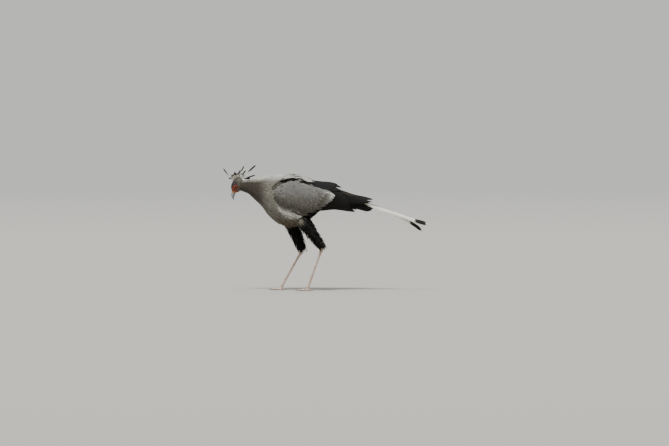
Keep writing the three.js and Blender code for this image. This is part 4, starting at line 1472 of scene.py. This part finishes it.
def makeLashes(name, side):
    forms = []
    t = np.linspace(0, 1, 7)
    for turn in np.radians(np.linspace(lashLook["start"], lashLook["end"], lashLook["count"])):
        turns = turn + chance.uniform(-0.12, 0.12) * t
        long = lashLook["long"] * chance.uniform(0.8, 1.15)
        reach = lashLook["reach"] + long * (0.55 * t + 0.25 * t * t)
        left = eyePlace["left"] + lashLook["out"] + long * (0.62 * t - 0.30 * t * t)
        left = left + lashLook["sweep"] * t * smooth(np.sin(turn), 0.5, 1)
        forward = eyePlace["forward"] + reach * np.cos(turns) * 1.08
        up = eyePlace["up"] + reach * np.sin(turns) * 0.9
        forms.append(strand(headPoint(forward, side * left, up), lashLook["thick"] * (1.05 - t)))
    solidPiece(f"lashes_{name}", forms, lashFinish, "body_plumage")


# Eyes: brown iris, black pupil and a bulging clear front

def makeEyeFinish():
    finish = Finish("eye")
    away = finish.attribute("ring", "Fac")
    streaks = finish.noise(1400, 3)
    colour = finish.ramp(away + (streaks - 0.5) * 0.05, [
        (0.0, (0.002, 0.002, 0.002)), (0.40, (0.002, 0.002, 0.002)), (0.43, (0.060, 0.036, 0.020)),
        (0.62, (0.085, 0.052, 0.030)), (0.78, (0.035, 0.022, 0.014)), (0.86, (0.005, 0.004, 0.003)),
        (1.0, (0.012, 0.006, 0.005)),
    ])
    rim = finish.smooth(away, 0.76, 0.88)
    return finish.surface(
        Base_Color=colour, Roughness=0.10 + rim * 0.5, Coat_Weight=0.30 + rim * -0.30,
        Coat_Roughness=0.02, Specular_IOR_Level=0.2,
    )


eyeFinish = makeEyeFinish()


def makeEye(name, side):
    rows, sides = 40, 48
    polar, turn = np.linspace(0.001, math.pi - 0.001, rows)[:, None], ring(rows, sides)[1]
    radius = eyePlace["radius"] - eyePlace["inset"] + eyePlace["bulge"] * (1 - smooth(polar, 0.25, 0.75))
    forward = eyePlace["forward"] + radius * np.sin(polar) * np.cos(turn)
    up = eyePlace["up"] + radius * np.sin(polar) * np.sin(turn)
    left = eyePlace["left"] + radius * np.cos(polar)
    form = solidForm(headPoint(forward, side * left, up))
    eye = solidPiece(f"eyeball_{name}", [form], eyeFinish, "eye", [f"eye_{name}"])
    away = np.clip(np.repeat(polar[:, 0], sides), 0, 1)
    eye.data.attributes.new("ring", "FLOAT", "POINT").data.foreach_set("value", away.astype(np.float32))


for name, side in bothSides:
    makeEye(name, side)
    makeLashes(name, side)


# Bill: a hooked upper half with a cere and nostrils, and a shorter lower half

billLook = {
    "long": 0.054, "mouth": 0.003, "upperHeight": 0.017, "lowerDepth": 0.0105, "half": 0.011, "hook": 0.018,
    "lowerShare": 0.75, "rows": 70, "sides": 56, "start": -0.10, "cereEnd": 0.20, "nostril": 0.10,
    "dent": 0.0026, "ridge": 0.05, "cereSwell": 0.055, "edge": 0.0007, "gap": 0.0003, "lowerHalf": 0.86,
}


def mouthDrop(share):
    share = np.clip(share, 0, 1.2)
    return billLook["hook"] * smooth(share, 0.35, 1.15) ** 1.6 + 0.0025 * share * share


def billForward(share):
    return headEnd + billLook["gap"] + billLook["long"] * share


def upperPlace(t, turn):
    share = mix(billLook["start"], 1, t)
    taper = root(1 - 0.97 * np.clip(share, 0, 1) ** 2.4)
    rise, across = np.cos(turn), np.sin(turn)
    ridge = 1 + billLook["ridge"] * hump(across, 0, 0.25) * smooth(share, 0.15, 0.4)
    swell = 1 - smooth(share, billLook["cereEnd"] - 0.02, billLook["cereEnd"] + 0.01)
    swell = 1 + billLook["cereSwell"] * swell
    height = rise * np.where(rise > 0, billLook["upperHeight"] * ridge, 0.0016 * (1 - np.abs(across)))
    height = height - billLook["edge"] * hump(np.abs(across), 1, 0.12) * (1 - smooth(share, 0.8, 0.95))
    left = billLook["half"] * np.sign(across) * np.abs(across) ** 0.92 * swell * taper
    dent = hump(share, billLook["nostril"], 0.045) * hump(np.degrees(np.arccos(np.clip(rise, -1, 1))), 52, 7)
    left = left - np.sign(left) * billLook["dent"] * dent
    return billForward(share), left, billLook["mouth"] - mouthDrop(share) + height * taper * swell


def lowerPlace(t, turn):
    along = mix(billLook["start"], 1, t)
    share = billLook["lowerShare"] * along
    taper = root(1 - 0.9 * np.clip(along, 0, 1) ** 2)
    fall = np.minimum(0, billLook["lowerDepth"] * np.cos(turn) * taper)
    fall = fall * (1 + 0.06 * hump(np.sin(turn), 0, 0.3))
    left = billLook["half"] * billLook["lowerHalf"] * taper * np.sin(turn)
    return billForward(share), left, billLook["mouth"] - billLook["gap"] - mouthDrop(share) + fall


def makeBillFinish():
    finish = Finish("bill")
    grain = finish.noise(260, 5)
    streaks = finish.noise(90, 4)
    ground = finish.attribute("ground")
    colour = finish.blend(finish.smooth(streaks, 0.4, 0.75) * 0.4, ground, tone(92, 100, 110))
    colour = finish.blend(grain * 0.25, colour, tone(60, 60, 62))
    return finish.surface(
        Base_Color=colour, Roughness=0.30 + grain * 0.22, Normal=finish.bump(grain + streaks, 0.0002),
        Coat_Weight=0.25, Coat_Roughness=0.2, Specular_IOR_Level=0.5,
    )


billFinish = makeBillFinish()
hornTone = tone(138, 146, 150)
hornTip = tone(62, 68, 74)
cereTone = tone(172, 122, 62)
for name, place in (("Upper", upperPlace), ("Lower", lowerPlace)):
    forward, left, up = np.broadcast_arrays(*place(*ring(billLook["rows"], billLook["sides"])))
    share = (forward - headEnd) / billLook["long"]
    cere = 1 - smooth(share, billLook["cereEnd"] - 0.02, billLook["cereEnd"] + 0.02)
    colour = layTones(hornTone, (hornTip, smooth(share, 0.55, 1.0)), (cereTone, cere))
    form = solidForm(headPoint(forward, left, up))
    solidPiece(f"bill{name}", [form], billFinish, "bill", [f"bill_{name.lower()}"], colour)
print("face and bill done")


# Lower legs, feet and claws

legTone = tone(196, 172, 156)
legPale = tone(216, 200, 186)
legDark = tone(120, 98, 86)
toeLook = {
    # degrees out from straight ahead, length, half thickness
    "toes": {
        "outer": (30, 0.046, 0.008), "middle": (0, 0.064, 0.009), "inner": (-30, 0.048, 0.008),
        "hind": (172, 0.028, 0.007),
    },
    "height": 0.0065, "tip": 0.5, "scute": 0.0046, "claw": 0.019, "knuckles": 0.07, "sunk": 0.004,
    "clawArch": 0.0014, "clawDrop": 0.0046,
}
scuteLook = {"gap": 0.0062, "rise": 0.0006, "front": 62, "hollow": 0.0011, "tendon": 0.0012}


def makeLegFinish():
    finish = Finish("legScales")
    cells = finish.cells(330)
    edges = finish.cells(330, "DISTANCE_TO_EDGE")
    grain = finish.noise(500, 4)
    patches = finish.noise(40, 3)
    colour = finish.blend(finish.smooth(patches, 0.35, 0.7), legTone, legPale)
    colour = finish.blend((1 - finish.smooth(edges, 0.0, 0.12)) * 0.55, colour, legDark)
    colour = finish.blend(finish.attribute("ground") * 1.0, colour, legDark)
    height = finish.smooth(edges, 0.0, 0.2) + grain * 0.3
    return finish.surface(
        Base_Color=colour, Roughness=0.5 + cells * 0.15, Normal=finish.bump(height, 0.0005),
        Specular_IOR_Level=0.4,
    )


def scutes(along, gap):  # a slope that steps up at the start of each scute
    phase = (along / gap) % 1
    return np.where(phase < 0.12, phase / 0.12, 1 - 0.55 * (phase - 0.12))


def seamTones(step, front):  # dark between the scutes
    seam = (1 - smooth(step, 0.05, 0.5)) * front * 0.6
    return np.stack([seam] * 3, -1)


def makeTarsus(name, leg):
    shell = LimbShell(leg["ankle"], leg["foot"] - 0.010 * shinLine(leg), tarsusStations)
    t, turn = ring(300, 44)
    at, angle = np.broadcast_arrays(t, np.degrees(turn))
    side = np.abs((angle + 180) % 360 - 180)
    front = 1 - smooth(side, scuteLook["front"] - 14, scuteLook["front"])
    step = scutes(at * shell.scale, scuteLook["gap"])
    out = scuteLook["rise"] * (step - 0.5) * front * smooth(at, 0.05, 0.12)
    hollow = hump(side, 78, 12) * smooth(at, 0.12, 0.2) * (1 - smooth(at, 0.85, 0.95))
    tendon = hump(side, 180, 30) * smooth(at, 0.10, 0.2)
    out = out - scuteLook["hollow"] * hollow + scuteLook["tendon"] * tendon
    form = solidForm(shell.point(at, angle, out))
    solidPiece(f"shank_{name}", [form], legFinish, "leg_skin", [f"tarsus_{name}"], seamTones(step, front))


def shinLine(leg):
    return (leg["foot"] - leg["ankle"]) / tarsusLength


def toePoints(leg, name, distance, across, height):
    heading, side = math.radians(toeLook["toes"][name][0]), leg["side"]
    ahead = np.array([-math.cos(heading), -side * math.sin(heading), 0])
    aside = np.array([-math.sin(heading), side * math.cos(heading), 0])
    points = leg["foot"] * [1, 1, 0] + distance[..., None] * ahead + across[..., None] * aside
    return points + height[..., None] * [0, 0, 1]


def toeForm(leg, name):
    long, thick = toeLook["toes"][name][1:]
    t, turn = ring(90, 32)
    above = np.cos(turn)
    along = mix(-toeLook["sunk"], long, t)
    share = np.clip(along / long, 0, 1)
    knuckles = 1 + toeLook["knuckles"] * np.cos(share * math.pi * 5) * smooth(share, 0.1, 0.3)
    radius = thick * mix(1, toeLook["tip"], share ** 3) * knuckles * root(1.02 - smooth(t, 0.965, 1.02))
    step = scutes(along, toeLook["scute"]) + 0 * turn
    radius = radius + scuteLook["rise"] * (step - 0.5) * smooth(above, 0.2, 0.6) * smooth(t, 0.05, 0.15)
    height = toeLook["height"] * mix(1, 0.75, share) + radius * above
    points = toePoints(leg, name, along, radius * np.sin(turn), np.maximum(height, 0))
    return solidForm(points), seamTones(step, smooth(above, 0.2, 0.6)).reshape(-1, 3)


def instepForm(leg):  # the joint that carries the toes, up to the shank
    t, turn = ring(30, 40)
    wider = smooth(t, 0.2, 0.9)
    top = leg["foot"] - 0.012 * shinLine(leg)
    middle = top + t[..., None] * (leg["foot"] * [1, 1, 0] + [0, 0, 0.0002] - top)
    rounding = root(1.03 - smooth(t, 0.92, 1.03) * 0.5)
    points = middle + (mix(0.0095, 0.0150, wider) * rounding * np.cos(turn))[..., None] * [-1, 0, 0]
    points = points + (mix(0.0110, 0.0150, wider) * rounding * np.sin(turn))[..., None] * headLeft
    points[..., 2] = np.maximum(points[..., 2], 0)
    return solidForm(points), np.zeros((points[..., 0].size, 3))


def makeFoot(name, leg):
    forms, seams = zip(instepForm(leg), *(toeForm(leg, toe) for toe in toeLook["toes"]))
    solidPiece(f"toes_{name}", forms, legFinish, "leg_skin", [f"foot_{name}"], np.concatenate(seams))


def makeClaws(name, leg):
    t, turn = ring(24, 16)
    for toe, sizes in toeLook["toes"].items():
        long, thick = sizes[1:]
        radius = thick * toeLook["tip"] * mix(0.92, 0.10, t ** 0.9)
        curve = toeLook["clawArch"] * np.sin(math.pi * t) - toeLook["clawDrop"] * t * t
        height = np.maximum(toeLook["height"] * 0.75 + curve + radius * np.cos(turn), 0.0006)
        along = mix(long - toeLook["sunk"], long + toeLook["claw"], t)
        form = solidForm(toePoints(leg, toe, along, radius * 0.86 * np.sin(turn), height))
        solidPiece(f"talon_{name}_{toe}", [form], clawFinish, "claw", [f"claw_{name}_{toe}"])


legFinish = makeLegFinish()
for name, leg in legs.items():
    makeTarsus(name, leg)
    makeFoot(name, leg)
    makeClaws(name, leg)
print("legs done")


# Studio: a plain pale floor that runs into the backdrop's colour, soft light, and the camera

studioLook = {
    "floor": tone(168, 166, 161), "air": tone(232, 232, 229), "bands": (2.0, 6.0, 20.0, 60.0),
    "fade": (4.0, 30.0), "airStrength": 0.82, "fill": 0.22, "overhead": 1.3,
    "sun": 4.2, "sunSpread": 14, "sunFrom": (-0.22, -0.40, 1.0),
}
cameraLook = {
    "distance": 30.0, "elevation": 2.0, "frameWidth": 4.616, "middle": (0.067, 0.0, 0.466), "sensor": 36.0,
}


def stand(name, data, towards=None):
    item = bpy.data.objects.new(name, data)
    if towards:
        item.rotation_mode = "QUATERNION"
        item.rotation_quaternion = towards.to_track_quat("Z", "Y")
    bpy.context.scene.collection.objects.link(item)
    return item


def makeAir():
    # pale where it is looked at; as a light, dim from the sides and brighter from above
    world = bpy.data.worlds.new("air")
    world.use_nodes = True
    air = Finish("airNodes")
    bpy.data.materials.remove(air.material)
    air.tree = world.node_tree
    air.tree.nodes.clear()
    height = air.part(air.add("ShaderNodeTexCoord", {}, {}, "Generated"), 2)
    light = studioLook["fill"] + air.smooth(height, 0.25, 0.9) * studioLook["overhead"]
    seen = air.add("ShaderNodeLightPath", {}, {}, "Is Camera Ray")
    strength = seen * studioLook["airStrength"] + (1 - seen) * light
    glow = air.add("ShaderNodeBackground", {}, {"Color": (*studioLook["air"], 1), "Strength": strength})
    air.add("ShaderNodeOutputWorld", {}, {"Surface": glow})
    bpy.context.scene.world = world


def makeFloor():
    sides, radii = 96, studioLook["bands"]
    points, faces = [(0, 0, 0)], []
    for radius in radii:
        for turn in ring(1, sides)[1][0]:
            points.append((radius * math.cos(turn), radius * math.sin(turn), 0))
    for i in range(sides):
        j = (i + 1) % sides
        faces.append((0, 1 + i, 1 + j))
        for band in range(len(radii) - 1):
            a, b = 1 + band * sides, 1 + (band + 1) * sides
            faces.append((a + i, b + i, b + j, a + j))
    mesh = bpy.data.meshes.new("floor")
    mesh.from_pydata(points, [], faces)
    floor = stand("floor", mesh)
    finish = Finish("floor")
    far = finish.add("ShaderNodeVectorMath", {"operation": "LENGTH"}, {0: finish.place()}, 1)
    grain = finish.noise(40, 4)
    colour = finish.blend(grain * 0.06, studioLook["floor"], tone(170, 168, 162))
    matt = finish.add("ShaderNodeBsdfDiffuse", {}, {"Color": colour})
    air = {"Color": (*studioLook["air"], 1), "Strength": studioLook["airStrength"]}
    glow = finish.add("ShaderNodeEmission", {}, air)
    share = finish.smooth(far, *studioLook["fade"])
    mixed = finish.add("ShaderNodeMixShader", {}, {0: share, 1: matt, 2: glow})
    finish.add("ShaderNodeOutputMaterial", {}, {"Surface": mixed})
    mesh.materials.append(finish.material)


def makeLight():
    sun = bpy.data.lights.new("softLight", "SUN")
    sun.energy = studioLook["sun"]
    sun.angle = math.radians(studioLook["sunSpread"])
    stand("softLight", sun, Vector(studioLook["sunFrom"]))


def makeCamera():
    lift = math.radians(cameraLook["elevation"])
    back = Vector((0, -math.cos(lift), math.sin(lift)))
    camera = bpy.data.cameras.new("camera")
    camera.sensor_width = cameraLook["sensor"]
    camera.lens = cameraLook["sensor"] * cameraLook["distance"] / cameraLook["frameWidth"]
    camera.clip_end = 500
    item = stand("camera", camera, back)
    item.location = Vector(cameraLook["middle"]) + back * cameraLook["distance"]
    bpy.context.scene.camera = item


makeFloor()
makeAir()
makeLight()
makeCamera()
print("studio done")
